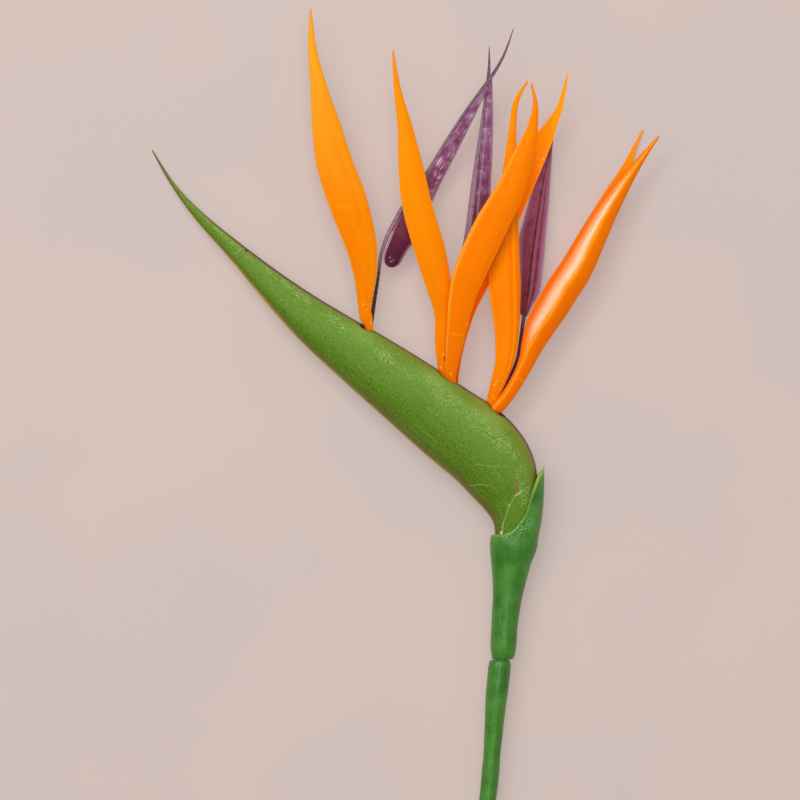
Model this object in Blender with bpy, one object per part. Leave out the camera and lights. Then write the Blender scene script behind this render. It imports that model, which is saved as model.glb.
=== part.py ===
"""Bird of paradise flower, picked and laid on its side.

The flower lies with its fold plane level, on the flat underside of the spathe, the cut end of
the stalk and the drooping tips. Lengths below are millimetres in the head's own frame: the neck
is at x = y = 0, +x runs towards the back of the head, +y up along it, and the surface is z = 0.
"""

import math

import bmesh
import bpy
from mathutils import Matrix, Vector

MM = 0.001

# Stalk and sheaths
STALK_RADIUS = 2.1
STALK_AXIS = [
    (-11.5, -180.0, 3.2),
    (-7.6, -130.0, 4.3),
    (-4.1, -90.0, 5.3),
    (-1.2, -56.8, 6.2),
    (0.6, -40.0, 6.6),
    (2.2, -18.0, 7.2),
    (3.2, 0.0, 7.5),
    (2.4, 8.5, 7.6),
]
BORE_GAP = 0.3
# Lower sheath: height along the stalk, middle x and outer radius, up to its rounded shoulder
LOWER_SHEATH = [
    (-180.0, -11.5, 3.15),
    (-130.0, -7.6, 3.1),
    (-90.0, -4.1, 3.1),
    (-73.0, -2.6, 3.25),
    (-58.0, -1.5, 3.75),
    (-45.0, -0.2, 3.95),
    (-43.2, -0.1, 3.7),
    (-42.6, 0.0, 3.25),
]
SHEATH_WALL = 0.85
CUP_RIM = -1.0
CUP_RISE = 21.6
CUP_POINT = 2.6

# Upper sheath: height along the stalk, left edge, right edge, half thickness, mid height
CUP_RIBS = [
    (-42.3, -2.7, 4.3, 3.3, 6.5),
    (-41.2, -2.8, 5.1, 3.8, 6.5),
    (-38.0, -3.2, 5.6, 4.2, 6.6),
    (-27.5, -2.8, 6.5, 4.4, 6.9),
    (-18.7, -2.4, 8.2, 4.8, 7.2),
    (-10.4, -2.9, 10.3, 5.6, 7.4),
    (-3.0, -3.3, 12.9, 6.8, 7.55),
    (5.5, -3.2, 14.3, 7.3, 7.6),
    (14.0, -2.6, 15.0, 7.4, 7.6),
    (24.0, -1.8, 15.2, 7.0, 7.6),
]

# Spathe ribs from the base to the beak: keel x, y, slit x, y, half thickness, mid height
SPATHE_RIBS = [
    (-1.0, -13.6, 6.7, -13.6, 3.9, 7.3),
    (-1.5, -4.4, 9.2, -4.4, 5.2, 7.5),
    (-2.0, 3.7, 11.6, 5.1, 6.0, 7.6),
    (-4.4, 9.2, 12.6, 16.3, 6.9, 7.6),
    (-8.5, 13.6, 11.9, 25.8, 8.0, 7.6),
    (-14.6, 19.7, 6.1, 35.7, 8.4, 7.6),
    (-25.2, 28.9, -6.1, 45.6, 8.3, 7.6),
    (-38.1, 40.5, -19.7, 55.1, 7.9, 7.6),
    (-53.0, 53.4, -36.4, 65.6, 6.9, 7.4),
    (-68.0, 67.3, -53.4, 75.5, 5.4, 6.8),
    (-80.9, 81.6, -69.4, 85.3, 3.6, 5.7),
    (-92.5, 94.2, -86.4, 97.2, 2.2, 4.4),
    (-103.4, 106.1, -99.3, 107.4, 1.4, 3.0),
    (-112.4, 118.8, -110.2, 118.6, 0.8, 1.6),
    (-118.3, 130.1, -117.5, 130.5, 0.4, 0.4),
]
SPATHE_WALL = 1.1
SLIT_FROM = 3.0
SLIT_TO = 10.5
SLIT_GAP = 0.25
# Where each flower leaves the slit: rib position, half opening, half length in ribs
SLIT_MOUTHS = [(8.45, 2.6, 0.32), (6.83, 3.9, 0.44), (5.4, 4.0, 0.52)]
LIP_DIP = 1.2

# Hidden flower bases: path and radius at each point
FLOWER_BASES = {
    "flower_base_1": [
        (0.6, 9.5, 7.6, 0.7),
        (-8.0, 20.5, 7.6, 1.3),
        (-22.0, 34.5, 7.6, 1.7),
        (-38.0, 50.0, 7.5, 2.0),
        (-43.4, 60.0, 7.5, 2.2),
        (-44.4, 65.5, 7.6, 1.9),
    ],
    "flower_base_2": [
        (2.6, 9.3, 7.6, 0.7),
        (-1.0, 22.0, 7.6, 1.4),
        (-8.0, 34.0, 7.6, 2.0),
        (-14.0, 43.5, 7.6, 2.6),
        (-16.4, 48.4, 7.6, 2.6),
    ],
    "flower_base_3": [
        (4.6, 9.3, 7.6, 0.7),
        (6.2, 19.0, 7.6, 1.5),
        (4.8, 27.0, 7.6, 2.1),
        (2.2, 34.0, 7.6, 2.3),
    ],
}

BLADE_THICKNESS = 0.8
ORANGE = (1.0, 0.27, 0.0)
DEEP_ORANGE = (0.95, 0.19, 0.0)
PURPLE = (0.19, 0.045, 0.115)
GREEN = (0.09, 0.26, 0.03)
SHEATH_GREEN = (0.05, 0.22, 0.045)
STALK_GREEN = (0.32, 0.42, 0.16)


def spline(rows, t):
    """A smooth curve through the rows, at t counted in rows."""
    last = len(rows) - 1
    i = min(max(int(t), 0), last - 1)
    u = t - i
    before = rows[max(i - 1, 0)]
    after = rows[min(i + 2, last)]
    out = []
    for p0, p1, p2, p3 in zip(before, rows[i], rows[i + 1], after):
        out.append(
            p1 + 0.5 * u * (p2 - p0 + u * (2 * p0 - 5 * p1 + 4 * p2 - p3 + u * (3 * (p1 - p2) + p3 - p0)))
        )
    return out


# Blades: rows of centre x, y, height and half width from the root in the slit to the tip.
# Each sepal also has its keel's rise as a share of the half width.
SEPALS = {
    "sepal_a": (0.22, [
        (-44.6, 66.2, 8.7, 1.2),
        (-45.2, 72.0, 8.9, 1.5),
        (-46.0, 81.0, 10.2, 2.5),
        (-46.1, 90.0, 11.3, 4.0),
        (-47.4, 99.3, 12.2, 5.4),
        (-51.3, 112.0, 12.8, 6.4),
        (-56.0, 125.4, 12.5, 6.0),
        (-59.0, 138.7, 11.8, 4.7),
        (-61.6, 152.1, 11.0, 2.8),
        (-63.8, 165.5, 10.3, 1.4),
        (-64.4, 179.0, 9.6, 0.3),
    ]),
    "sepal_b": (0.25, [
        (-18.6, 49.7, 8.8, 1.0),
        (-20.1, 56.0, 9.2, 1.4),
        (-20.4, 65.2, 10.3, 2.1),
        (-20.2, 75.0, 11.5, 2.9),
        (-20.8, 83.6, 12.9, 4.1),
        (-23.8, 96.5, 14.4, 5.2),
        (-27.9, 110.7, 15.0, 5.1),
        (-30.2, 124.0, 15.0, 4.3),
        (-32.2, 137.8, 14.0, 2.6),
        (-34.9, 151.5, 13.2, 1.2),
        (-36.4, 164.9, 12.6, 0.3),
    ]),
    "sepal_c": (0.22, [
        (-15.6, 49.6, 9.6, 1.2),
        (-16.3, 55.0, 10.3, 2.0),
        (-15.8, 62.4, 12.2, 2.8),
        (-14.6, 70.8, 14.4, 3.5),
        (-13.2, 79.7, 16.3, 4.4),
        (-10.4, 89.0, 17.8, 5.4),
        (-3.9, 103.4, 19.2, 5.7),
        (2.8, 116.0, 19.6, 4.9),
        (7.5, 127.9, 19.2, 3.6),
        (10.8, 138.0, 18.2, 1.9),
        (11.8, 146.5, 17.0, 0.8),
        (10.4, 153.4, 16.0, 0.3),
    ]),
    "sepal_d": (-0.2, [
        (-15.2, 49.8, 5.4, 1.1),
        (-15.6, 55.0, 5.4, 1.7),
        (-14.3, 66.0, 5.3, 2.6),
        (-11.5, 77.0, 5.1, 3.4),
        (-7.4, 87.0, 5.2, 4.2),
        (1.5, 107.9, 7.5, 5.0),
        (8.2, 122.4, 9.2, 4.7),
        (14.1, 133.4, 10.0, 3.4),
        (17.5, 139.6, 10.3, 2.0),
        (20.4, 145.9, 10.4, 1.0),
        (23.0, 156.9, 10.4, 0.3),
    ]),
    "sepal_e": (-0.2, [
        (0.6, 35.2, 8.6, 1.1),
        (-2.0, 43.6, 9.0, 1.7),
        (-0.8, 53.2, 10.4, 2.5),
        (1.5, 62.5, 11.4, 3.6),
        (2.0, 71.8, 12.2, 4.5),
        (1.6, 85.0, 12.9, 5.4),
        (1.4, 97.0, 13.3, 5.1),
        (2.1, 108.9, 13.4, 4.1),
        (3.2, 123.3, 13.1, 2.5),
        (4.2, 137.4, 12.4, 1.3),
        (5.4, 147.0, 11.8, 0.9),
        (9.4, 154.3, 11.2, 0.3),
    ]),
    "sepal_f": (-0.2, [
        (2.8, 35.3, 5.3, 1.1),
        (4.2, 46.0, 5.0, 1.7),
        (8.4, 58.0, 4.7, 2.6),
        (13.4, 69.0, 4.3, 3.8),
        (20.4, 81.5, 3.9, 4.6),
        (26.8, 93.0, 3.5, 4.5),
        (33.4, 105.8, 3.0, 3.9),
        (38.8, 116.4, 2.4, 2.9),
        (42.8, 124.4, 1.8, 1.6),
        (45.9, 131.6, 1.1, 0.8),
        (48.9, 138.2, 0.5, 0.3),
    ]),
    "sepal_g": (0.42, [
        (3.2, 35.3, 9.8, 1.1),
        (2.6, 43.4, 10.1, 1.6),
        (6.1, 52.4, 11.0, 2.3),
        (9.6, 60.5, 11.6, 3.0),
        (12.6, 68.8, 12.0, 4.5),
        (16.8, 76.6, 12.4, 5.3),
        (21.7, 84.1, 12.6, 5.7),
        (26.4, 91.5, 12.6, 5.5),
        (34.6, 107.3, 11.8, 4.2),
        (41.8, 119.0, 10.8, 2.6),
        (49.0, 129.0, 9.8, 1.1),
        (54.2, 135.8, 9.0, 0.3),
    ]),
}

# Arrow petals: claw and rib as x, y, height, radius; face as x, y, height, half width
ARROWS = {
    "arrow_petals_1": (
        [
            (-43.9, 66.2, 6.6, 0.75),
            (-43.8, 72.0, 6.4, 0.75),
            (-42.9, 80.2, 6.4, 0.7),
            (-41.0, 94.5, 6.8, 0.75),
            (-38.6, 101.6, 7.1, 0.8),
            (-31.5, 113.8, 7.5, 0.8),
            (-25.0, 124.0, 8.2, 0.8),
            (-17.9, 134.3, 9.6, 0.75),
            (-10.6, 145.2, 11.2, 0.7),
            (-3.7, 155.2, 12.6, 0.6),
            (0.9, 162.6, 13.2, 0.45),
            (4.4, 171.6, 13.6, 0.35),
        ],
        [
            (-36.6, 91.3, 6.7, 1.0),
            (-36.0, 93.6, 6.8, 3.0),
            (-34.9, 98.5, 7.0, 3.9),
            (-33.0, 102.6, 7.2, 4.0),
            (-27.2, 113.3, 7.6, 3.5),
            (-23.7, 119.8, 8.0, 3.1),
            (-16.3, 132.9, 9.6, 2.3),
            (-8.7, 145.4, 11.3, 1.3),
            (-4.6, 152.4, 12.2, 0.6),
        ],
    ),
    "arrow_petals_2": (
        [
            (-16.6, 49.3, 7.4, 0.75),
            (-16.3, 56.0, 7.6, 0.75),
            (-15.0, 69.7, 8.0, 0.75),
            (-13.6, 83.3, 8.4, 0.8),
            (-11.9, 93.5, 8.7, 0.9),
            (-10.2, 103.0, 9.7, 0.9),
            (-8.1, 119.4, 10.2, 0.8),
            (-6.4, 134.3, 10.3, 0.7),
            (-4.9, 145.2, 10.2, 0.6),
            (-3.9, 156.4, 10.0, 0.5),
            (-3.8, 165.6, 9.8, 0.35),
        ],
        [
            (-7.6, 91.5, 8.8, 1.0),
            (-7.5, 94.5, 9.0, 3.0),
            (-7.0, 101.0, 9.5, 3.5),
            (-6.3, 109.0, 9.9, 3.2),
            (-5.8, 117.0, 10.1, 2.7),
            (-4.9, 127.0, 10.2, 2.4),
            (-4.1, 137.0, 10.2, 1.9),
            (-3.5, 147.0, 10.2, 1.2),
            (-3.3, 153.5, 10.1, 0.6),
        ],
    ),
    "arrow_petals_3": (
        [
            (2.3, 35.2, 7.0, 0.7),
            (1.8, 46.0, 7.2, 0.7),
            (4.0, 54.6, 7.4, 0.7),
            (6.5, 61.0, 7.3, 0.7),
            (7.5, 69.5, 6.3, 0.75),
            (8.8, 76.5, 5.6, 0.8),
            (10.1, 86.4, 5.1, 0.8),
            (11.7, 96.9, 5.0, 0.75),
            (13.4, 110.5, 5.0, 0.7),
            (15.4, 123.0, 5.2, 0.6),
            (17.0, 131.9, 5.3, 0.5),
            (18.7, 141.2, 5.4, 0.35),
        ],
        [
            (8.9, 75.6, 5.6, 1.6),
            (9.4, 79.5, 5.4, 3.2),
            (10.4, 85.5, 5.1, 3.7),
            (11.2, 93.5, 5.0, 4.1),
            (11.5, 99.8, 5.0, 4.3),
            (12.1, 105.6, 5.0, 4.0),
            (12.9, 112.2, 5.0, 3.5),
            (14.6, 122.4, 5.1, 2.6),
            (16.2, 130.4, 5.2, 1.7),
            (17.7, 137.0, 5.3, 0.8),
        ],
    ),
}


def clear_scene():
    for obj in list(bpy.data.objects):
        bpy.data.objects.remove(obj, do_unlink=True)


def collection(name):
    made = bpy.data.collections.new(name)
    bpy.context.scene.collection.children.link(made)
    return made


def material(name, colour, roughness):
    made = bpy.data.materials.new(name)
    made.use_nodes = True
    shader = made.node_tree.nodes["Principled BSDF"]
    shader.inputs["Base Color"].default_value = (*colour, 1.0)
    shader.inputs["Roughness"].default_value = roughness
    shader.inputs["Metallic"].default_value = 0.0
    return made


def add_object(name, bm, finish, group):
    """The finished bmesh, in millimetres, as an object in metres."""
    bmesh.ops.remove_doubles(bm, verts=bm.verts, dist=0.001)
    bmesh.ops.recalc_face_normals(bm, faces=bm.faces)
    mesh = bpy.data.meshes.new(name)
    bm.to_mesh(mesh)
    bm.free()
    mesh.transform(Matrix.Scale(MM, 4))
    mesh.materials.append(finish)
    mesh.shade_smooth()
    obj = bpy.data.objects.new(name, mesh)
    group.objects.link(obj)
    return obj


def join_rings(bm, rings):
    """Sides between rings of equal length, each ring a closed loop of vertices."""
    for low, high in zip(rings, rings[1:]):
        for j in range(len(low)):
            k = (j + 1) % len(low)
            bm.faces.new((low[j], low[k], high[k], high[j]))


def add_ring(bm, points):
    return [bm.verts.new(p) for p in points]


def frames_along(rows, steps):
    """Centre, side, up and size at even steps along the rows of a blade or tube."""
    last = len(rows) - 1
    out = []
    for i in range(steps + 1):
        t = last * i / steps
        x, y, z, size = spline(rows, t)
        ahead = spline(rows, min(t + 0.05, last))
        behind = spline(rows, max(t - 0.05, 0.0))
        tangent = Vector((ahead[0] - behind[0], ahead[1] - behind[1], ahead[2] - behind[2])).normalized()
        side = tangent.cross(Vector((0.0, 0.0, 1.0))).normalized()
        up = side.cross(tangent)
        out.append((Vector((x, y, z)), side, up, max(size, 0.3)))
    return out


def blade(rows, keel, steps, across=6):
    """A thin folded blade: both faces split into the same triangles, with a full edge all round."""
    bm = bmesh.new()
    half = 0.5 * BLADE_THICKNESS
    layers = ([], [])
    for centre, side, up, width in frames_along(rows, steps):
        for layer, offset in zip(layers, (half, -half)):
            ring = []
            for j in range(across + 1):
                s = 2.0 * j / across - 1.0
                rise = keel * width * (0.5 - abs(s) ** 1.6)
                ring.append(bm.verts.new(centre + side * (width * s) + up * (rise + offset)))
            layer.append(ring)
    top, bottom = layers
    for i in range(steps):
        for j in range(across):
            for a, b in ((top, True), (bottom, False)):
                quad = (a[i][j], a[i][j + 1], a[i + 1][j + 1], a[i + 1][j])
                first = (quad[0], quad[1], quad[2])
                second = (quad[0], quad[2], quad[3])
                bm.faces.new(first if b else first[::-1])
                bm.faces.new(second if b else second[::-1])
        for j in (0, across):
            bm.faces.new((top[i][j], top[i + 1][j], bottom[i + 1][j], bottom[i][j]))
    for i in (0, steps):
        for j in range(across):
            bm.faces.new((top[i][j], top[i][j + 1], bottom[i][j + 1], bottom[i][j]))
    return bm


def ring_at(y, table):
    """The row of a table whose first column is y, at a height between its rows."""
    for i, (low, high) in enumerate(zip(table, table[1:])):
        if y <= high[0]:
            return spline(table, i + max(0.0, (y - low[0]) / (high[0] - low[0])))
    return list(table[-1])


def stalk_centre(y):
    """Where the stalk's axis passes height y, found by halving."""
    low, high = 0.0, len(STALK_AXIS) - 1.0
    for _ in range(30):
        middle = 0.5 * (low + high)
        if spline(STALK_AXIS, middle)[1] < y:
            low = middle
        else:
            high = middle
    x, _, z = spline(STALK_AXIS, low)
    return x, z


def tube(name, rows, finish, group, steps, sides=3):
    """A round stalk as a curve with a radius at each point and filled caps."""
    curve = bpy.data.curves.new(name, "CURVE")
    curve.dimensions = "3D"
    curve.bevel_depth = MM
    curve.bevel_resolution = sides
    curve.use_fill_caps = True
    line = curve.splines.new("POLY")
    line.points.add(steps)
    for i, point in enumerate(line.points):
        x, y, z, radius = spline(rows, (len(rows) - 1) * i / steps)
        point.co = (x * MM, y * MM, z * MM, 1.0)
        point.radius = radius
    obj = bpy.data.objects.new(name, curve)
    obj.data.materials.append(finish)
    group.objects.link(obj)
    return obj


def make_stalk(group):
    rows = [(*point, STALK_RADIUS) for point in STALK_AXIS]
    return tube("stem", rows, material("stalk flesh", STALK_GREEN, 0.5), group, 24, 4)


def make_lower_sheath(group, finish, around=18, steps=14):
    """A sleeve round the stalk, cut off square with it below and rounded at its upper end."""
    bm = bmesh.new()
    bottom, top = LOWER_SHEATH[0][0], LOWER_SHEATH[-1][0]
    shoulder = [row[0] for row in LOWER_SHEATH[-3:]]
    heights = [bottom + (shoulder[0] - bottom) * i / steps for i in range(steps)] + shoulder
    outer, inner = [], []
    for y in heights:
        bore_x, z = stalk_centre(y)
        _, x, radius = ring_at(y, LOWER_SHEATH)
        for rings, x, size in ((outer, x, radius), (inner, bore_x, STALK_RADIUS + BORE_GAP)):
            turns = [2.0 * math.pi * j / around for j in range(around)]
            rings.append(add_ring(bm, [(x + size * math.cos(a), y, z + size * math.sin(a)) for a in turns]))
    join_rings(bm, outer + inner[::-1] + outer[:1])
    return add_object("lower_sheath", bm, finish, group)


def cup_rim(turn):
    """Height of the cup's slanting rim: a low lip in front, rising to one point at the back."""
    rise = CUP_RISE / (1.0 + (abs(turn) / math.radians(58.0)) ** 4)
    return CUP_RIM + rise + CUP_POINT * math.exp(-abs(turn) / math.radians(14.0))


def make_upper_sheath(group, finish, around=28, steps=14):
    """The cup: a sleeve on the stalk that opens into an oval cup round the spathe's neck."""
    bm = bmesh.new()
    bottom = CUP_RIBS[0][0]
    outer, inner = [], []
    for i in range(steps + 1):
        share = (i / steps) ** 1.25
        rows = ([], [])
        for j in range(around):
            turn = 2.0 * math.pi * j / around
            if turn > math.pi:
                turn -= 2.0 * math.pi
            y = bottom + (cup_rim(turn) - bottom) * share
            _, left, right, half, z = ring_at(y, CUP_RIBS)
            x, wide = 0.5 * (left + right), 0.5 * (right - left)
            rows[0].append((x + wide * math.cos(turn), y, z + half * math.sin(turn)))
            bore_x, bore_z = stalk_centre(y)
            bore = STALK_RADIUS + BORE_GAP
            widening = min(max((y + 37.0) / 14.0, 0.0), 1.0)
            widening = widening * widening * (3.0 - 2.0 * widening)
            x = bore_x + (x - bore_x) * widening
            z = bore_z + (z - bore_z) * widening
            wide = bore + (wide - SHEATH_WALL - bore) * widening
            half = bore + (half - SHEATH_WALL - bore) * widening
            rows[1].append((x + wide * math.cos(turn), y, z + half * math.sin(turn)))
        outer.append(add_ring(bm, rows[0]))
        inner.append(add_ring(bm, rows[1]))
    join_rings(bm, outer + inner[::-1] + outer[:1])
    return add_object("upper_sheath", bm, finish, group)


def slit_half_gap(t):
    """Half the opening between the lips: shut at the neck and beak, wide where flowers come out."""
    if not SLIT_FROM < t <= SLIT_TO:
        return 0.0
    return SLIT_GAP + sum(wide * math.exp(-(((t - at) / reach) ** 2)) for at, wide, reach in SLIT_MOUTHS)


def spathe_section(t, around):
    """Outer and inner outline of the spathe at rib position t, from lip round the keel to lip."""
    kx, ky, ux, uy, half, mid = spline(SPATHE_RIBS, t)
    keel, slit = Vector((kx, ky)), Vector((ux, uy))
    depth = (slit - keel).length
    across = (slit - keel) / depth
    gap = slit_half_gap(t)
    dip = LIP_DIP * max(gap - SLIT_GAP, 0.0) / SLIT_MOUTHS[1][1]
    flat = []
    for j in range(around + 1):
        turn = 2.0 * math.pi * j / around
        up = 0.5 * (1.0 + math.cos(turn))
        near_lip = min(max((up - 0.7) / 0.3, 0.0), 1.0) ** 2
        side = 1.0 if j <= around / 2 else -1.0
        z = half * side * abs(math.sin(turn)) ** 0.9 + side * gap * near_lip
        v = depth * up - (dip * near_lip if side > 0 else 0.0)
        flat.append(Vector((v, z)))
    outer, inner = [], []
    for j, point in enumerate(flat):
        ahead = flat[min(j + 1, around)]
        behind = flat[max(j - 1, 0)]
        if j in (0, around):
            inward = Vector((-1.0, 0.0))
        else:
            run = (ahead - behind).normalized()
            inward = Vector((-run.y, run.x))
        for points, spot, floor in ((outer, point, 0.0), (inner, point + inward * SPATHE_WALL, SPATHE_WALL)):
            place = keel + across * spot.x
            points.append((place.x, place.y, max(mid + spot.y, floor)))
    return outer, inner


def make_spathe(group, around=24, per_rib=4):
    """A folded hollow shell: skins inside and out, joined at the lips, the base and the beak's root."""
    bm = bmesh.new()
    last = (len(SPATHE_RIBS) - 1) * per_rib
    hollow_end = round(SLIT_TO * per_rib)
    slit_start = round(SLIT_FROM * per_rib)
    outer, inner = [], []
    for i in range(last + 1):
        skins = spathe_section(i / per_rib, around)
        outer.append(add_ring(bm, skins[0]))
        if i <= hollow_end:
            inner.append(add_ring(bm, skins[1]))
    for skin in (outer, inner):
        for low, high in zip(skin, skin[1:]):
            for j in range(around):
                bm.faces.new((low[j], low[j + 1], high[j + 1], high[j]))
    for j in range(around):
        bm.faces.new((outer[0][j], outer[0][j + 1], inner[0][j + 1], inner[0][j]))
    for i in range(slit_start, hollow_end):
        for j in (0, around):
            bm.faces.new((outer[i][j], outer[i + 1][j], inner[i + 1][j], inner[i][j]))
    bm.faces.new([outer[hollow_end][0], *inner[hollow_end], outer[hollow_end][around]])
    bm.faces.new((outer[hollow_end][0], outer[hollow_end][around], outer[hollow_end + 1][0]))
    bm.faces.new(outer[last][:-1])
    return add_object("spathe", bm, material("green bract", GREEN, 0.35), group)


def make_flower_bases(group):
    finish = material("ovary flesh", STALK_GREEN, 0.5)
    for name, rows in FLOWER_BASES.items():
        tube(name, rows, finish, group, 16, 3)


def make_sepals(group):
    bright = material("orange sepal", ORANGE, 0.35)
    deep = material("deep orange sepal", DEEP_ORANGE, 0.35)
    for name, (keel, rows) in SEPALS.items():
        finish = deep if name in ("sepal_d", "sepal_f") else bright
        add_object(name, blade(rows, keel, 20), finish, group)


def as_mesh(obj, group):
    """The evaluated curve as a closed mesh object in the group, with the curve removed."""
    bpy.context.view_layer.update()
    mesh = bpy.data.meshes.new_from_object(obj.evaluated_get(bpy.context.evaluated_depsgraph_get()))
    bm = bmesh.new()
    bm.from_mesh(mesh)
    bmesh.ops.remove_doubles(bm, verts=bm.verts, dist=1e-6)
    bmesh.ops.recalc_face_normals(bm, faces=bm.faces)
    bm.to_mesh(mesh)
    bm.free()
    name = obj.name
    bpy.data.objects.remove(obj, do_unlink=True)
    made = bpy.data.objects.new(name, mesh)
    group.objects.link(made)
    return made


def make_arrow_petals(group, cutters):
    """Each arrow: a flat face joined along its edge or middle to a round claw that runs on as its rib."""
    finish = material("purple petal", PURPLE, 0.4)
    for name, (claw_rows, face_rows) in ARROWS.items():
        arrow = add_object(name, blade(face_rows, 0.12, 20, 4), finish, group)
        claw = as_mesh(tube(name + "_claw", claw_rows, finish, cutters, 30, 2), cutters)
        claw.hide_render = True
        claw.display_type = "WIRE"
        join = arrow.modifiers.new("claw", "BOOLEAN")
        join.operation = "UNION"
        join.solver = "EXACT"
        join.object = claw


def stand_on_origin(groups):
    """Moves everything so that the origin is the middle of the box's bottom."""
    bpy.context.view_layer.update()
    corners = [
        obj.matrix_world @ Vector(corner)
        for group in groups
        for obj in group.objects
        for corner in obj.bound_box
    ]
    low = Vector([min(c[k] for c in corners) for k in range(3)])
    high = Vector([max(c[k] for c in corners) for k in range(3)])
    shift = Vector((-0.5 * (low.x + high.x), -0.5 * (low.y + high.y), 0.0))
    for group in groups:
        for obj in group.objects:
            obj.data.transform(Matrix.Translation(shift))


clear_scene()
flower = collection("bird_of_paradise_flower")
cutters = collection("cutters")
sheath_finish = material("sheath leaf", SHEATH_GREEN, 0.3)
make_stalk(flower)
make_lower_sheath(flower, sheath_finish)
make_upper_sheath(flower, sheath_finish)
make_spathe(flower)
make_flower_bases(flower)
make_sepals(flower)
make_arrow_petals(flower, cutters)
stand_on_origin([flower, cutters])
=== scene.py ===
"""A picked bird of paradise flower laid on its side: stem and sheaths, spathe, sepals and petals.

Tables are millimetres in the head's own frame: the neck at x = y = 0, x towards the back of the
head, y up along it, and z = 0 the surface that the flower lies on.
"""

import math

import bpy
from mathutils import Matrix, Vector, noise


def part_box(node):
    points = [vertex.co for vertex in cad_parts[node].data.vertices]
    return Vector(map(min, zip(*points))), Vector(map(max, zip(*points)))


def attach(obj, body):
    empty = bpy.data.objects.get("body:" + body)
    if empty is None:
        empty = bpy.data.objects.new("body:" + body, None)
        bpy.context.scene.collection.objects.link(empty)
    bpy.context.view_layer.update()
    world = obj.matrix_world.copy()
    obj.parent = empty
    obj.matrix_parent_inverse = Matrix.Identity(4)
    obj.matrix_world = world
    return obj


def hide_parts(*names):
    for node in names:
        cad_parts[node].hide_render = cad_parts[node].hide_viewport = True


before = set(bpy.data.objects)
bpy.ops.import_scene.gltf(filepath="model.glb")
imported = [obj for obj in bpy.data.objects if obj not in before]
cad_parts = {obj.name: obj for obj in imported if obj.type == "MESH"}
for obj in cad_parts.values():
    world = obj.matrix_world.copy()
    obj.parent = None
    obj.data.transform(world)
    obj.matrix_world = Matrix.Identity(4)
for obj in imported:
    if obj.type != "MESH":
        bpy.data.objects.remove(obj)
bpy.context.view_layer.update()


# ------------------------------
# Stem. A juicy round stalk that carries the head and runs inside both sheaths, so only its cut
# end and a thin ring between the sheaths show. Pale flesh with darker strands, cut square.

MM = 0.001
# Points of a grid nearer than this, in metres, are one point.
MEETING = 2e-6
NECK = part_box("lower_sheath")[0] + Vector((14.65, 180.0, 0.0)) * MM
NECK.z = 0.0

STALK_RADIUS = 2.1
STALK_AXIS = [
    (-11.5, -180.0, 3.2), (-7.6, -130.0, 4.3), (-4.1, -90.0, 5.3), (-1.2, -56.8, 6.2),
    (0.6, -40.0, 6.6), (2.2, -18.0, 7.2), (3.2, 0.0, 7.5), (2.4, 8.5, 7.6),
]


def spline(rows, t):
    """A smooth line through the rows, at t counted in rows."""
    last = len(rows) - 1
    i = min(max(int(t), 0), last - 1)
    u = t - i
    out = []
    for p0, p1, p2, p3 in zip(rows[max(i - 1, 0)], rows[i], rows[i + 1], rows[min(i + 2, last)]):
        bend = 2 * p0 - 5 * p1 + 4 * p2 - p3 + u * (3 * (p1 - p2) + p3 - p0)
        out.append(p1 + 0.5 * u * (p2 - p0 + u * bend))
    return out


def close_up(made, merge=False):
    """Joins the points of a grid that meet, if asked, and turns all the faces outward."""
    bpy.ops.object.select_all(action="DESELECT")
    made.select_set(True)
    bpy.context.view_layer.objects.active = made
    bpy.ops.object.mode_set(mode="EDIT")
    bpy.ops.mesh.select_all(action="SELECT")
    if merge:
        bpy.ops.mesh.remove_doubles(threshold=MEETING)
    bpy.ops.mesh.normals_make_consistent(inside=False)
    bpy.ops.object.mode_set(mode="OBJECT")


def skin(name, around, along, place):
    """A grid laid over a form: place(i, j) gives each crossing in the head's millimetres."""
    bpy.ops.mesh.primitive_grid_add(
        x_subdivisions=around, y_subdivisions=along, size=1.0, calc_uvs=True
    )
    made = bpy.context.object
    made.name = name
    made.data.name = name
    columns = around + 1
    for index, vertex in enumerate(made.data.vertices):
        x, y, z = place(index % columns, index // columns)
        vertex.co = NECK + Vector((x, y, z)) * MM
    close_up(made, merge=True)
    bpy.ops.object.shade_smooth()
    return made


def frames_along(rows, steps):
    """Centre, side, up and sizes at even steps along rows of x, y, z and sizes."""
    last = len(rows) - 1
    out = []
    for j in range(steps + 1):
        t = last * j / steps
        x, y, z, *sizes = spline(rows, t)
        ahead = spline(rows, min(t + 0.04, last))
        behind = spline(rows, max(t - 0.04, 0.0))
        run = Vector([a - b for a, b in zip(ahead[:3], behind[:3])]).normalized()
        side = run.cross(Vector((0.0, 0.0, 1.0))).normalized()
        out.append((Vector((x, y, z)), side, side.cross(run), run, sizes))
    return out


def wire(tree, kind, sockets=None, **settings):
    """A shader node with its settings made and its sockets set or linked."""
    made = tree.nodes.new("ShaderNode" + kind)
    for key, value in settings.items():
        setattr(made, key, value)
    for key, value in (sockets or {}).items():
        if isinstance(value, bpy.types.NodeSocket):
            tree.links.new(value, made.inputs[key])
        else:
            made.inputs[key].default_value = value
    return made


def reckon(tree, operation, *values):
    return wire(tree, "Math", dict(enumerate(values)), operation=operation).outputs[0]


def times(tree, *values):
    return reckon(tree, "MULTIPLY", *values)


def cloud(tree, place, scale, detail):
    """Soft noise between 0 and 1."""
    sockets = {"Vector": place, "Scale": scale, "Detail": detail}
    return wire(tree, "TexNoise", sockets).outputs[0]


def rgb(red, green, blue):
    """A colour as printed on a paint chart, 0 to 255, as the shader's linear values."""
    shown = [c / 255 for c in (red, green, blue)]
    return (*[c / 12.92 if c < 0.04045 else ((c + 0.055) / 1.055) ** 2.4 for c in shown], 1.0)


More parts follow.
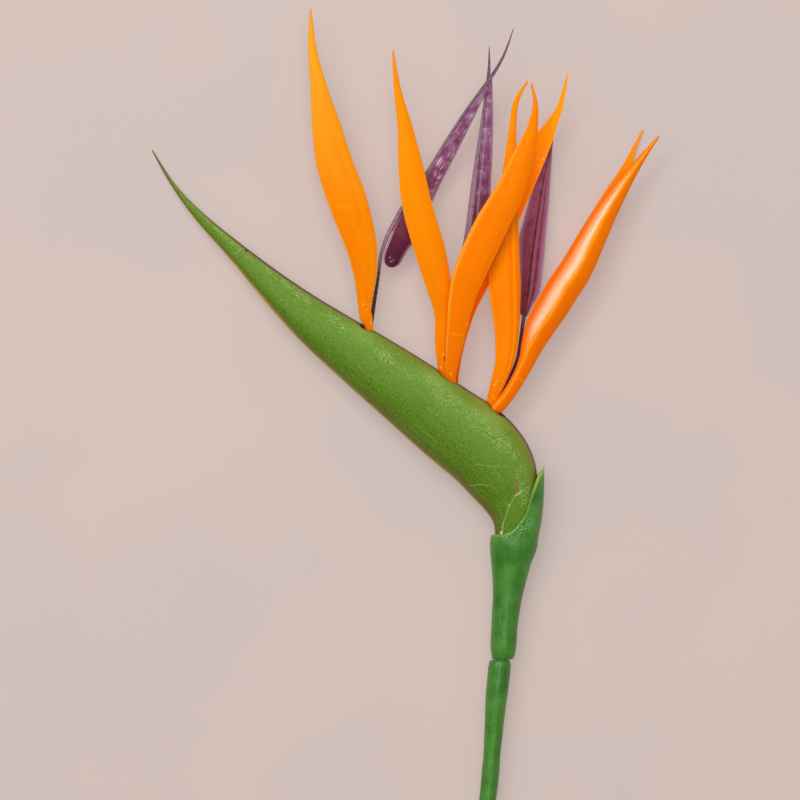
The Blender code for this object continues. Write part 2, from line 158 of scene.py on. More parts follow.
def blend(tree, share, low, high):
    """One colour changing to another by share."""
    sockets = {0: share, 6: low, 7: high}
    return wire(tree, "Mix", sockets, data_type="RGBA").outputs[2]


def level(tree, share, low, high, first=0.0, last=1.0):
    """share between low and high, stretched smoothly to run from first to last."""
    sockets = {"Value": share, "From Min": low, "From Max": high, "To Min": first, "To Max": last}
    return wire(tree, "MapRange", sockets, interpolation_type="SMOOTHSTEP").outputs[0]


def layers(tree, colour, rows):
    """Paints laid over a colour in turn.

    Each row is the share that a paint follows, where that starts and ends, how strong the paint is
    at each, and the paint. A last share, where there is one, limits it further.
    """
    for share, low, high, first, last, paint, *limits in rows:
        shown = level(tree, share, low, high, first, last)
        for limit in limits:
            shown = times(tree, shown, limit)
        colour = blend(tree, shown, colour, rgb(*paint))
    return colour


def group(name, takes, gives):
    """A shader node group with its named inputs and outputs."""
    tree = bpy.data.node_groups.new(name, "ShaderNodeTree")
    for title, kind in takes:
        tree.interface.new_socket(title, in_out="INPUT", socket_type=kind)
    for title, kind in gives:
        tree.interface.new_socket(title, in_out="OUTPUT", socket_type=kind)
    return tree, tree.nodes.new("NodeGroupInput").outputs, tree.nodes.new("NodeGroupOutput").inputs


def use(tree, made, sockets):
    """A node group placed in a material with its own values."""
    return wire(tree, "Group", sockets, node_tree=made).outputs


def finish(name, roughness=0.5, **plain):
    """A new material, its tree and its Principled shader, with the plain values set on it."""
    made = bpy.data.materials.new(name)
    made.use_nodes = True
    shader = made.node_tree.nodes["Principled BSDF"]
    shader.inputs["Roughness"].default_value = roughness
    for key, value in plain.items():
        shader.inputs[key.replace("_", " ")].default_value = value
    return made, made.node_tree, shader


def raise_bump(tree, shader, height, depth_mm, strength=1.0):
    """Fine relief: the height, from 0 to 1, stands up to depth_mm high."""
    sockets = {"Height": height, "Strength": strength, "Distance": depth_mm * MM}
    tree.links.new(wire(tree, "Bump", sockets).outputs[0], shader.inputs["Normal"])


# Cell grain, shared by all the living surfaces: soft patches and fine glinting pits.
grain, takes, gives = group(
    "cell grain",
    [("Patch size mm", "NodeSocketFloat"), ("Cell size mm", "NodeSocketFloat")],
    [("Patches", "NodeSocketFloat"), ("Cells", "NodeSocketFloat")],
)
place = wire(grain, "TexCoord").outputs["Object"]
for title, source, detail in (("Patches", "Patch size mm", 3.0), ("Cells", "Cell size mm", 2.0)):
    scale = reckon(grain, "DIVIDE", 1000.0, takes[source])
    grain.links.new(cloud(grain, place, scale, detail), gives[title])


def grained(tree, patch, cell):
    """The cell grain, with patches and cells of these sizes in millimetres."""
    return use(tree, grain, {"Patch size mm": patch, "Cell size mm": cell})


stalk_flesh, tree, shader = finish("stalk_flesh", 0.42)
patches, cells = grained(tree, 3.0, 0.35)
place = wire(tree, "TexCoord").outputs["Object"]
flat = wire(tree, "Mapping", {"Vector": place, "Scale": (1.0, 0.05, 1.0)}).outputs[0]
sockets = {"Vector": flat, "Scale": 1500.0, "Randomness": 0.9}
strands = wire(tree, "TexVoronoi", sockets).outputs[0]
flesh = blend(tree, patches, rgb(168, 184, 98), rgb(206, 208, 140))
flesh = layers(tree, flesh, [(strands, 0.18, 0.32, 1.0, 0.0, (96, 120, 52))])
tree.links.new(flesh, shader.inputs["Base Color"])
raise_bump(tree, shader, reckon(tree, "ADD", strands, cells), 0.12)

STEM_AROUND = 40
STEM_ALONG = 60
STEM_CAP = 4
stem_frames = frames_along([(*spot, STALK_RADIUS) for spot in STALK_AXIS], STEM_ALONG)


def stem_spot(i, j):
    """Out from the middle of the cut end, along the stalk and in again at the top."""
    step = min(max(j - STEM_CAP, 0), STEM_ALONG)
    centre, side, up, run, (radius,) = stem_frames[step]
    inset = min(j, STEM_ALONG + 2 * STEM_CAP - j, STEM_CAP) / STEM_CAP
    turn = math.tau * i / STEM_AROUND
    return centre + (side * math.cos(turn) + up * math.sin(turn)) * radius * inset


stem = skin("stem_flesh", STEM_AROUND, STEM_ALONG + 2 * STEM_CAP, stem_spot)
stem.data.materials.append(stalk_flesh)
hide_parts("stem")
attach(stem, "root")


# ------------------------------
# Lower sheath. The last stem leaf's base, wrapped round the stalk like a sleeve, with a swollen
# rounded shoulder on top and one margin lapped over the other down its length. Glossy leaf skin.

LOWER_SHEATH = [
    (-180.0, -11.5, 3.15), (-130.0, -7.6, 3.1), (-90.0, -4.1, 3.1), (-73.0, -2.6, 3.25),
    (-58.0, -1.5, 3.75), (-45.0, -0.2, 3.95), (-43.2, -0.1, 3.7), (-42.6, 0.0, 3.25),
]
BORE = STALK_RADIUS + 0.3
LAP_RISE = 0.22
LAP_TOP = -76.0


def ease(value, low, high):
    """0 at low, 1 at high and smooth between."""
    share = min(max((value - low) / (high - low), 0.0), 1.0)
    return share * share * (3.0 - 2.0 * share)


def ripple(x, y, z, size):
    """Slow natural unevenness between -1 and 1, with hills about size millimetres apart."""
    return noise.noise(Vector((x, y, z)) / size)


def stalk_centre(y):
    """Where the stalk's axis passes height y, found by halving."""
    low, high = 0.0, len(STALK_AXIS) - 1.0
    for _ in range(30):
        middle = 0.5 * (low + high)
        if spline(STALK_AXIS, middle)[1] < y:
            low = middle
        else:
            high = middle
    x, _, z = spline(STALK_AXIS, low)
    return x, z


def ring_at(y, table):
    """The row of a table whose first column is y, at a height between its rows."""
    for i, (low, high) in enumerate(zip(table, table[1:])):
        if y <= high[0]:
            return spline(table, i + max(0.0, (y - low[0]) / (high[0] - low[0])))
    return list(table[-1])


LOWER_AROUND = 72
LOWER_BODY = 110
CUT_END = -180.0
SHOULDER = -45.0
SHOULDER_RISE = 2.4
shoulder = [SHOULDER + SHOULDER_RISE * math.sin(math.pi * k / 12) for k in range(1, 7)]
lower_heights = [CUT_END + (SHOULDER - CUT_END) * k / LOWER_BODY for k in range(LOWER_BODY + 1)]
lower_heights += shoulder
# Each ring of the skin: its height, and whether it lies in the bore
lower_rows = [(y, False) for y in lower_heights] + [(y, True) for y in lower_heights[::-1]]
lower_rows.append((CUT_END, False))


def lower_sheath_spot(i, j):
    y, inside = lower_rows[j]
    turn = math.tau * i / LOWER_AROUND
    bore_x, z = stalk_centre(y)
    if inside:
        return bore_x + BORE * math.cos(turn), y, z + BORE * math.sin(turn)
    _, x, radius = ring_at(y, LOWER_SHEATH)
    lap_from = math.radians(150.0) - 1.9 * ease(y, -84.0, LAP_TOP)
    lap = ease(turn, lap_from, lap_from + 0.16) * (1.0 - ease(turn, 3.4, 5.2))
    lap *= 1.0 - ease(y, LAP_TOP - 3.0, LAP_TOP)
    bulge = radius + 0.1 * ripple(x + radius * math.cos(turn), y, turn, 9.0) - 0.06
    bulge += LAP_RISE * (lap - 1.0) * ease(y, -179.0, -176.0) * (1.0 - ease(y, -60.0, -50.0))
    return x + bulge * math.cos(turn), y, z + bulge * math.sin(turn)


def ramp(tree, share, stops):
    """A colour that follows share through stops, each a place and a paint of 0 to 255."""
    made = wire(tree, "ValToRGB", {0: share})
    line = made.color_ramp
    while len(line.elements) < len(stops):
        line.elements.new(0.5)
    for element, (place, *paint) in zip(line.elements, stops):
        element.position = place
        element.color = rgb(*paint)
    return made.outputs[0]


def leaf_finish(name):
    """Glossy leaf skin drawn out along the stem: fine fibres, soft dark and light patches, pits."""
    made, tree, shader = finish(
        name, 0.3, Specular_Tint=(0.75, 1.0, 0.7, 1.0), Coat_Weight=0.15, Coat_Roughness=0.16
    )
    patches, cells = grained(tree, 9.0, 0.45)
    place = wire(tree, "TexCoord").outputs["Object"]
    drawn = wire(tree, "Mapping", {"Vector": place, "Scale": (1.0, 0.06, 1.0)}).outputs[0]
    fibres = cloud(tree, drawn, 1600.0, 2.0)
    leaf = ramp(tree, patches, [
        (0.3, 44, 102, 28), (0.5, 58, 124, 34), (0.68, 78, 142, 44),
    ])
    leaf = layers(tree, leaf, [
        (fibres, 0.5, 0.8, 0.0, 0.3, (98, 158, 58)),
        (cells, 0.6, 0.72, 0.0, 0.5, (112, 174, 76)),
        (cells, 0.3, 0.42, 0.4, 0.0, (30, 84, 20)),
    ])
    tree.links.new(level(tree, patches, 0.3, 0.7, 0.22, 0.4), shader.inputs["Roughness"])
    raise_bump(tree, shader, reckon(tree, "ADD", cells, fibres), 0.1, 0.8)
    return made, tree, shader, cells, leaf


sheath_leaf, tree, shader, _, leaf = leaf_finish("sheath_leaf")
tree.links.new(leaf, shader.inputs["Base Color"])

lower_sheath = skin("lower_sheath_leaf", LOWER_AROUND, len(lower_rows) - 1, lower_sheath_spot)
lower_sheath.data.materials.append(sheath_leaf)
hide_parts("lower_sheath")
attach(lower_sheath, "root")


# ------------------------------
# Upper sheath. A leafy sleeve that opens into a cup round the spathe's neck: low in front and
# rising behind to one point, with a thick rounded, shiny rim.

# Height of the slanting rim against the turn from the point at the back, in degrees
CUP_RIM = [
    (0.0, 23.6), (16.0, 21.9), (38.0, 20.1), (49.5, 17.2), (58.6, 14.1), (64.4, 11.0), (69.1, 7.9),
    (76.9, 5.7), (88.0, 3.4), (97.5, 1.5), (113.6, 0.3), (136.0, -0.1), (158.0, -0.2),
    (180.0, -0.3),
]
SHEATH_WALL = 0.85
CUP_RIBS = [
    (-42.3, -2.7, 4.3, 3.3, 6.5), (-41.2, -2.8, 5.1, 3.8, 6.5), (-38.0, -3.2, 5.6, 4.2, 6.6),
    (-27.5, -2.8, 6.5, 4.4, 6.9), (-18.7, -2.4, 8.2, 4.8, 7.2), (-10.4, -2.9, 10.3, 5.6, 7.4),
    (-4.5, -3.4, 12.6, 6.7, 7.55), (-2.0, -3.3, 13.0, 6.9, 7.55), (0.2, -2.4, 13.4, 7.0, 7.6),
    (5.5, -2.2, 14.3, 7.3, 7.6), (14.0, -1.8, 15.0, 7.4, 7.6), (24.0, -1.4, 15.1, 7.0, 7.6),
]
CUP_AROUND = 96
CUP_BODY = 64
RIM_TURNS = 5
RIM_BEAD = 0.42
CUP_CROWDING = 1.1
cup_shares = [(k / CUP_BODY) ** CUP_CROWDING for k in range(CUP_BODY + 1)]
# Each ring of the skin, in shares: of the height, of the wall inward and of the rim's lift
cup_rows = [(share, 0.0, 0.0) for share in cup_shares]
cup_rows += [
    (1.0, 0.5 - 0.5 * math.cos(math.pi * k / RIM_TURNS), 0.5 * math.sin(math.pi * k / RIM_TURNS))
    for k in range(1, RIM_TURNS)
]
cup_rows += [(share, 1.0, 0.0) for share in cup_shares[::-1]]
cup_rows.append((0.0, 0.0, 0.0))


def cup_rim(turn):
    """Height of the cup's slanting rim: a low lip in front, rising to one point at the back."""
    return ring_at(abs(math.degrees(turn)), CUP_RIM)[1]


def hill(value, top, reach, power=2):
    """1 at the top, falling smoothly to 0 on both sides of it."""
    return math.exp(-(((value - top) / reach) ** power))


def upper_sheath_spot(i, j):
    share, inset, lift = cup_rows[j]
    turn = math.tau * i / CUP_AROUND
    if turn > math.pi:
        turn -= math.tau
    bottom = CUP_RIBS[0][0]
    height = cup_rim(turn)
    y = bottom + (height - bottom) * share
    _, left, right, half, z = ring_at(y, CUP_RIBS)
    x, wide = 0.5 * (left + right), 0.5 * (right - left)
    at_point = hill(turn, 0.0, 0.3)
    bead = RIM_BEAD * hill(height, y, 1.2) * (1.0 - inset) * (1.0 - at_point)
    wall = SHEATH_WALL * (1.0 - 0.7 * at_point * ease(y, 8.0, 18.0))
    uneven = 0.12 * ripple(left, y, 3.0 * turn, 6.0)
    bore_x, bore_z = stalk_centre(y)
    opening = ease(y, -37.0, -23.0)
    inner_x = bore_x + (x - bore_x) * opening
    inner_z = bore_z + (z - bore_z) * opening
    inner_wide = BORE + (wide - wall - BORE) * opening
    inner_half = BORE + (half - wall - BORE) * opening
    wide += bead + uneven
    half += bead + uneven
    x += (inner_x - x) * inset
    z += (inner_z - z) * inset
    wide += (inner_wide - wide) * inset
    half += (inner_half - half) * inset
    return x + wide * math.cos(turn), y + lift * wall, z + half * math.sin(turn)


def note(made, name, values):
    """Writes one number for each point of a skin, for its material to read."""
    layer = made.data.attributes.new(name, "FLOAT", "POINT")
    layer.data.foreach_set("value", values)


upper_sheath = skin("upper_sheath_leaf", CUP_AROUND, len(cup_rows) - 1, upper_sheath_spot)
below_rim, off_back = [], []
for vertex in upper_sheath.data.vertices:
    x, y, z = (vertex.co - NECK) / MM
    _, left, right, half, middle = ring_at(y, CUP_RIBS)
    turn = math.atan2((z - middle) / half, (2.0 * x - left - right) / (right - left))
    below_rim.append(cup_rim(turn) - y)
    off_back.append(abs(math.degrees(turn)))
note(upper_sheath, "below_rim_mm", below_rim)
note(upper_sheath, "off_back_degrees", off_back)


def noted(tree, name):
    """A number that note wrote for each point."""
    return wire(tree, "Attribute", attribute_name=name).outputs["Fac"]


# A thin mark such as a scratch or a bruise, 1 on the line from start to end and 0 away from it. It
# shows where the surface faces up, and not on the side that lies on the table.
mark, takes, gives = group(
    "skin mark",
    [("Start", "NodeSocketVector"), ("End", "NodeSocketVector"), ("Width mm", "NodeSocketFloat")],
    [("Mark", "NodeSocketFloat")],
)
place = wire(mark, "TexCoord").outputs["Object"]


def vector_step(operation, sockets):
    return wire(mark, "VectorMath", sockets, operation=operation)


waver = cloud(mark, place, 900.0, 2.0)
level_place = vector_step("MULTIPLY", {0: place, 1: (1.0, 1.0, 0.0)}).outputs[0]
run = vector_step("SUBTRACT", {0: takes["End"], 1: takes["Start"]}).outputs[0]
back = vector_step("SUBTRACT", {0: level_place, 1: takes["Start"]}).outputs[0]
share = reckon(
    mark,
    "DIVIDE",
    vector_step("DOT_PRODUCT", {0: back, 1: run}).outputs["Value"],
    vector_step("DOT_PRODUCT", {0: run, 1: run}).outputs["Value"],
)
share = reckon(mark, "MINIMUM", reckon(mark, "MAXIMUM", share, 0.0), 1.0)
foot = vector_step("SCALE", {0: run, "Scale": share}).outputs[0]
away = vector_step("DISTANCE", {0: back, 1: foot}).outputs["Value"]
reach = times(mark, takes["Width mm"], MM)
reach = times(mark, reach, reckon(mark, "ADD", waver, 0.5))
near = level(mark, reckon(mark, "DIVIDE", away, reach), 0.3, 1.0, 1.0, 0.0)
facing = wire(mark, "TexCoord").outputs["Normal"]
facing = wire(mark, "SeparateXYZ", {0: facing}).outputs["Z"]
upper = reckon(mark, "GREATER_THAN", facing, 0.05)
mark.links.new(times(mark, near, upper), gives["Mark"])


def flat_spot(x, y):
    """A point of the head's own frame, level with the table top, in metres."""
    return tuple(NECK + Vector((x, y, 0.0)) * MM)


cup_leaf, tree, shader, cells, leaf = leaf_finish("cup_leaf")
below = noted(tree, "below_rim_mm")
back = noted(tree, "off_back_degrees")
tip_zone = level(tree, back, 30.0, 75.0, 1.0, 0.35)
leaf = layers(tree, leaf, [
    (below, 1.3, 2.4, 0.85, 0.0, (112, 156, 44), tip_zone),
    # The pale line on the rim's bead is a painted highlight.
    (below, 0.1, 0.45, 0.8, 0.0, (156, 190, 84), tip_zone),
    # Painted rim light: a tan line down the cup's back point.
    (back, 4.0, 11.0, 0.7, 0.0, (170, 140, 84)),
])
# Painted highlights: pale glints on the cup's shoulder.
sockets = {"Start": flat_spot(2.6, 0.2), "End": flat_spot(9.4, 4.2), "Width mm": 3.0}
shoulder_glint_mask = use(tree, mark, sockets)["Mark"]
painted_glints = times(tree, shoulder_glint_mask, level(tree, cells, 0.56, 0.66, 0.0, 0.6))
leaf = blend(tree, painted_glints, leaf, rgb(214, 240, 220))
tree.links.new(leaf, shader.inputs["Base Color"])
upper_sheath.data.materials.append(cup_leaf)
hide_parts("upper_sheath")
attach(upper_sheath, "root")


# ------------------------------
# Spathe. A stiff boat-shaped bract folded along its keel and drawn out into a beak. Its two lips
# meet along the top in a purple-brown edge and part where the flowers push through.

SPATHE_RIBS = [
    (-1.0, -13.6, 6.7, -13.6, 3.9, 7.3), (-1.5, -4.4, 9.2, -4.4, 5.2, 7.5),
    (-2.3, 3.8, 11.6, 5.1, 6.0, 7.6), (-5.2, 8.4, 12.6, 16.3, 6.9, 7.6),
    (-9.3, 12.6, 11.6, 25.8, 8.0, 7.6), (-15.3, 18.8, 6.1, 35.7, 8.4, 7.6),
    (-26.1, 27.9, -6.1, 45.6, 8.3, 7.6), (-39.0, 39.5, -19.7, 55.3, 7.9, 7.6),
    (-53.7, 52.7, -36.4, 65.8, 6.9, 7.4), (-68.6, 66.6, -53.4, 75.5, 5.4, 6.8),
    (-81.4, 81.1, -69.6, 85.6, 3.6, 5.7), (-91.7, 93.6, -86.7, 98.0, 2.2, 4.4),
    (-103.9, 107.6, -101.4, 109.9, 1.4, 3.0), (-112.3, 119.5, -111.0, 120.0, 0.8, 1.6),
    (-118.7, 131.1, -118.4, 131.3, 0.35, 0.4),
]
SPATHE_WALL = 1.1
SLIT_FROM = 3.0
SLIT_TO = 10.5
SLIT_GAP = 0.2
# Where each flower leaves the slit: rib position, half opening, half length in ribs
SLIT_MOUTHS = [(8.45, 2.6, 0.32), (6.83, 3.9, 0.44), (5.45, 4.0, 0.52)]
# The notch in the near lip round each flower's foot: rib position, depth, half length in ribs
LIP_NOTCHES = [(8.52, 1.3, 0.12), (6.84, 1.1, 0.17), (5.64, 1.1, 0.19)]
# A gentle outward swell of both lips: rib position, rise, half length in ribs
LIP_SWELL = (5.75, 0.95, 0.5)
SPATHE_AROUND = 96
SPATHE_ALONG = 238
last_rib = len(SPATHE_RIBS) - 1


def slit_half_gap(t):
    """Half the opening between the lips: shut at the neck and beak, wide where flowers come out."""
    if not SLIT_FROM < t <= SLIT_TO:
        return 0.0
    return SLIT_GAP + sum(wide * hill(t, at, reach) for at, wide, reach in SLIT_MOUTHS)


def spathe_spot(i, j):
    """From the near lip round the keel to the far lip, at each step towards the beak."""
    t = last_rib * j / SPATHE_ALONG
    kx, ky, ux, uy, half, mid = spline(SPATHE_RIBS, t)
    keel, slit = Vector((kx, ky)), Vector((ux, uy))
    if j == SPATHE_ALONG:
        return (*((keel + slit) / 2), mid)
    across = slit - keel
    swell_at, rise, swell_reach = LIP_SWELL
    across += across.normalized() * rise * hill(t, swell_at, swell_reach)
    gap = slit_half_gap(t)
    dip = sum(deep * hill(t, at, reach, 4) for at, deep, reach in LIP_NOTCHES)
    turn = math.tau * i / SPATHE_AROUND
    up = 0.5 * (1.0 + math.cos(turn))
    near_lip = min(max((up - 0.7) / 0.3, 0.0), 1.0) ** 2
    side = 1.0 if i <= SPATHE_AROUND / 2 else -1.0
    z = half * side * abs(math.sin(turn)) ** 0.9 + side * gap * near_lip
    z += side * 0.1 * ripple(kx, ky, 20.0 * up, 11.0) * min(half, 3.0) / 3.0
    place = keel + across * up
    if side > 0:
        place -= across.normalized() * dip * near_lip ** 3
    return place.x, place.y, max(mid + z, 0.0)


def spathe_depths(vertex):
    """How far a point of the skin lies from the keel and from the lips, more in the thin beak."""
    flat = Vector((vertex.co - NECK).xy) / MM
    _, keel, slit = min(spathe_middles, key=lambda ring: (flat - ring[0]).length_squared)
    across = slit - keel
    depth = max(across.length, 0.2)
    up = min(max((flat - keel).dot(across) / depth ** 2, 0.0), 1.0)
    shown = depth / min(1.0, depth / 7.0)
    return shown * up, shown * (1.0 - up)


def off(tree, value, spot):
    """How far a value is from a spot, on either side."""
    return reckon(tree, "ABSOLUTE", reckon(tree, "SUBTRACT", value, spot))


def wandering(tree, value, patches, width):
    """A value pushed to and fro by the patches, over a band so wide."""
    return reckon(tree, "ADD", value, reckon(tree, "MULTIPLY_ADD", patches, width, -0.5 * width))


def on_skin(tree):
    """Where a point lies on its skin: X round the form, Y along it, both from 0 to 1."""
    seat = wire(tree, "UVMap", uv_map="UVMap").outputs[0]
    return wire(tree, "SeparateXYZ", {0: seat}).outputs


def marked(tree, colour, strength, marks):
    """Thin marks on a colour: each from x, y to x, y in millimetres, its width and its paint."""
    for x, y, end_x, end_y, width, *paint in marks:
        sockets = {"Start": flat_spot(x, y), "End": flat_spot(end_x, end_y), "Width mm": width}
        seen = times(tree, use(tree, mark, sockets)["Mark"], strength)
        colour = blend(tree, seen, colour, rgb(*paint))
    return colour


spathe_middles = []
for j in range(SPATHE_ALONG + 1):
    kx, ky, ux, uy, *_ = spline(SPATHE_RIBS, last_rib * j / SPATHE_ALONG)
    middle = Vector((0.5 * (kx + ux), 0.5 * (ky + uy)))
    spathe_middles.append((middle, Vector((kx, ky)), Vector((ux, uy))))

spathe = skin("spathe_bract", SPATHE_AROUND, SPATHE_ALONG, spathe_spot)
walls = spathe.vertex_groups.new(name="wall")
for vertex in spathe.data.vertices:
    along = (vertex.co - NECK).y / MM
    walls.add([vertex.index], 1.0 - 0.9 * ease(along, 70.0, 108.0), "REPLACE")
wall = spathe.modifiers.new("wall", "SOLIDIFY")
wall.thickness = SPATHE_WALL * MM
wall.offset = -1.0
wall.vertex_group = "wall"
wall.use_even_offset = True
bpy.ops.object.modifier_apply(modifier="wall")
depths = [spathe_depths(vertex) for vertex in spathe.data.vertices]
note(spathe, "from_keel_mm", [keel for keel, lip in depths])
note(spathe, "from_lip_mm", [lip for keel, lip in depths])

green_bract, tree, shader = finish(
    "green_bract", 0.38, Specular_IOR_Level=0.42, Specular_Tint=(0.8, 1.0, 0.4, 1.0)
)
patches, cells = grained(tree, 7.0, 0.5)
seat = on_skin(tree)
from_keel = noted(tree, "from_keel_mm")
from_lip = noted(tree, "from_lip_mm")
depth = reckon(tree, "DIVIDE", from_keel, reckon(tree, "ADD", from_keel, from_lip))
wandered = wandering(tree, depth, patches, 0.16)
drawn = {0: times(tree, seat["X"], 190.0), 1: times(tree, seat["Y"], 8.0)}
drawn = wire(tree, "CombineXYZ", drawn).outputs[0]
fibres = cloud(tree, drawn, 1.0, 3.0)
# Darker and browner at the keel, lighter towards the lips: partly the bract's own colour,
# partly painted shade low on the keel and a painted highlight band below the lips.
bract = ramp(tree, wandered, [
    (0.02, 100, 96, 30), (0.12, 88, 108, 24), (0.28, 84, 122, 22), (0.5, 84, 126, 26),
    (0.68, 94, 136, 36), (0.84, 112, 142, 44), (0.96, 124, 138, 42),
])
near_keel = level(tree, depth, 0.15, 0.6, 1.0, 0.45)
bract = layers(tree, bract, [
    (fibres, 0.5, 0.75, 0.0, 0.55, (126, 162, 66), near_keel),
    (fibres, 0.28, 0.45, 0.45, 0.0, (58, 96, 20), near_keel),
])
# Painted highlights: pale sparkles in a band below the lips, and sparse pale glints all over.
painted_sheen_band = level(tree, off(tree, wandered, 0.75), 0.04, 0.15, 1.0, 0.0)
painted_sheen_band = times(tree, painted_sheen_band, level(tree, patches, 0.4, 0.6, 0.35, 1.0))
bract = layers(tree, bract, [
    (cells, 0.46, 0.64, 0.0, 0.55, (176, 204, 140), painted_sheen_band),
    (cells, 0.7, 0.76, 0.0, 0.7, (196, 222, 140)),
    (cells, 0.55, 0.7, 0.0, 0.3, (118, 164, 66)),
])
speckle_zone = level(tree, depth, 0.5, 0.75, 1.0, 0.2)
bract = layers(tree, bract, [
    (cells, 0.37, 0.46, 0.65, 0.0, (52, 90, 14), speckle_zone),
    (from_lip, 0.6, 2.6, 0.4, 0.0, (150, 138, 66)),
    # Partly painted shade: the bract turns darker brown close to the keel.
    (from_keel, 0.4, 1.3, 0.65, 0.0, (92, 86, 30)),
])
# Thin lines along the keel and both lips, kept as wide in the thin beak.
off_keel = times(tree, off(tree, seat["X"], 0.5), math.tau)
off_lip = reckon(tree, "SUBTRACT", math.pi, off_keel)
thinner = level(tree, seat["Y"], 0.5, 0.8, 1.0, 0.5)
off_keel = times(tree, off_keel, thinner)
off_lip = times(tree, off_lip, thinner)
# Painted rim light: a thin orange line along the keel.
painted_rim_light = blend(tree, level(tree, patches, 0.35, 0.65), rgb(212, 148, 58), rgb(226, 166, 66))
bract = blend(tree, level(tree, off_keel, 0.12, 0.38, 0.95, 0.0), bract, painted_rim_light)
bract = layers(tree, bract, [
    (off_lip, 0.26, 0.42, 0.7, 0.0, (118, 88, 56)),
    (off_lip, 0.2, 0.3, 1.0, 0.0, (84, 46, 52)),
])
# A bruise, scratches and creases, as marked takes them
MARKS = [
    (5.2, 18.9, 5.3, 18.3, 0.7, 150, 92, 66), (5.5, 17.2, 5.7, 16.6, 0.6, 160, 104, 72),
    (5.5, 16.0, 6.1, 15.2, 0.75, 158, 76, 58), (-2.3, 35.6, -2.1, 35.4, 0.6, 140, 96, 50),
    (2.1, 25.5, 2.2, 25.3, 0.4, 140, 104, 56), (0.6, 1.0, 1.0, 4.0, 0.4, 150, 176, 92),
    (1.0, 4.0, 3.2, 10.2, 0.3, 140, 168, 84), (3.2, 10.2, 5.1, 13.4, 0.26, 140, 168, 84),
    (5.1, 13.4, 7.2, 14.9, 0.34, 206, 216, 150), (7.2, 14.9, 10.9, 16.9, 0.22, 140, 172, 84),
    (0.35, 0.6, 0.45, 1.0, 0.6, 224, 228, 206), (3.0, 10.2, 3.2, 10.0, 0.4, 186, 206, 130),
    (-5.0, 35.1, -2.2, 32.8, 0.24, 66, 108, 26), (-2.2, 32.8, 1.5, 33.8, 0.24, 58, 100, 24),
    (1.5, 33.8, 3.7, 35.1, 0.22, 70, 112, 30), (-2.0, 32.4, 1.6, 33.4, 0.2, 138, 168, 72),
    (-10.6, 16.7, -6.6, 17.3, 0.22, 132, 164, 70), (-6.6, 17.3, -3.4, 16.7, 0.22, 128, 160, 68),
    (-3.4, 16.7, -0.8, 15.2, 0.22, 120, 154, 62), (-8.2, 24.1, -2.0, 23.3, 0.2, 128, 162, 70),
    (-2.0, 23.3, 3.4, 23.5, 0.2, 122, 158, 66), (-86.1, 97.2, -90.8, 95.0, 0.26, 66, 96, 30),
    (-86.3, 96.6, -88.6, 94.1, 0.24, 60, 92, 28), (-86.5, 97.5, -90.4, 95.7, 0.24, 128, 160, 72),
    (-85.9, 97.0, -86.3, 97.3, 0.8, 60, 44, 30),
]
bract = marked(tree, bract, 0.8, MARKS)
bract = layers(tree, bract, [(seat["Y"], 0.88, 0.99, 0.0, 0.8, (92, 88, 34))])
tree.links.new(bract, shader.inputs["Base Color"])
tree.links.new(level(tree, patches, 0.3, 0.7, 0.28, 0.42), shader.inputs["Roughness"])
raise_bump(tree, shader, reckon(tree, "ADD", cells, times(tree, fibres, 0.6)), 0.13, 1.0)

spathe.data.materials.append(green_bract)
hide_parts("spathe")
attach(spathe, "root")


# ------------------------------
# Flower bases. The fleshy lower ends of the three flowers, hidden in the spathe between its neck
# and the mouths of the slit. They keep the solids' shape and get the flesh's own finish.

ovary_flesh, tree, shader = finish("ovary_flesh", 0.4)
patches, cells = grained(tree, 4.0, 0.6)
flesh = blend(tree, patches, rgb(150, 176, 92), rgb(222, 214, 150))
tree.links.new(flesh, shader.inputs["Base Color"])
raise_bump(tree, shader, cells, 0.08)
for node in ("flower_base_1", "flower_base_2", "flower_base_3"):
    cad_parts[node].data.materials.clear()
    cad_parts[node].data.materials.append(ovary_flesh)


# ------------------------------
# Sepals. Seven waxy orange blades, thin at the margin and folded along a low crest, narrow where
# they leave the slit and drawn out to a fine tip. Rows: x, y, height and half width.

# Half the thickness of a blade
BLADE_HALF = 0.42
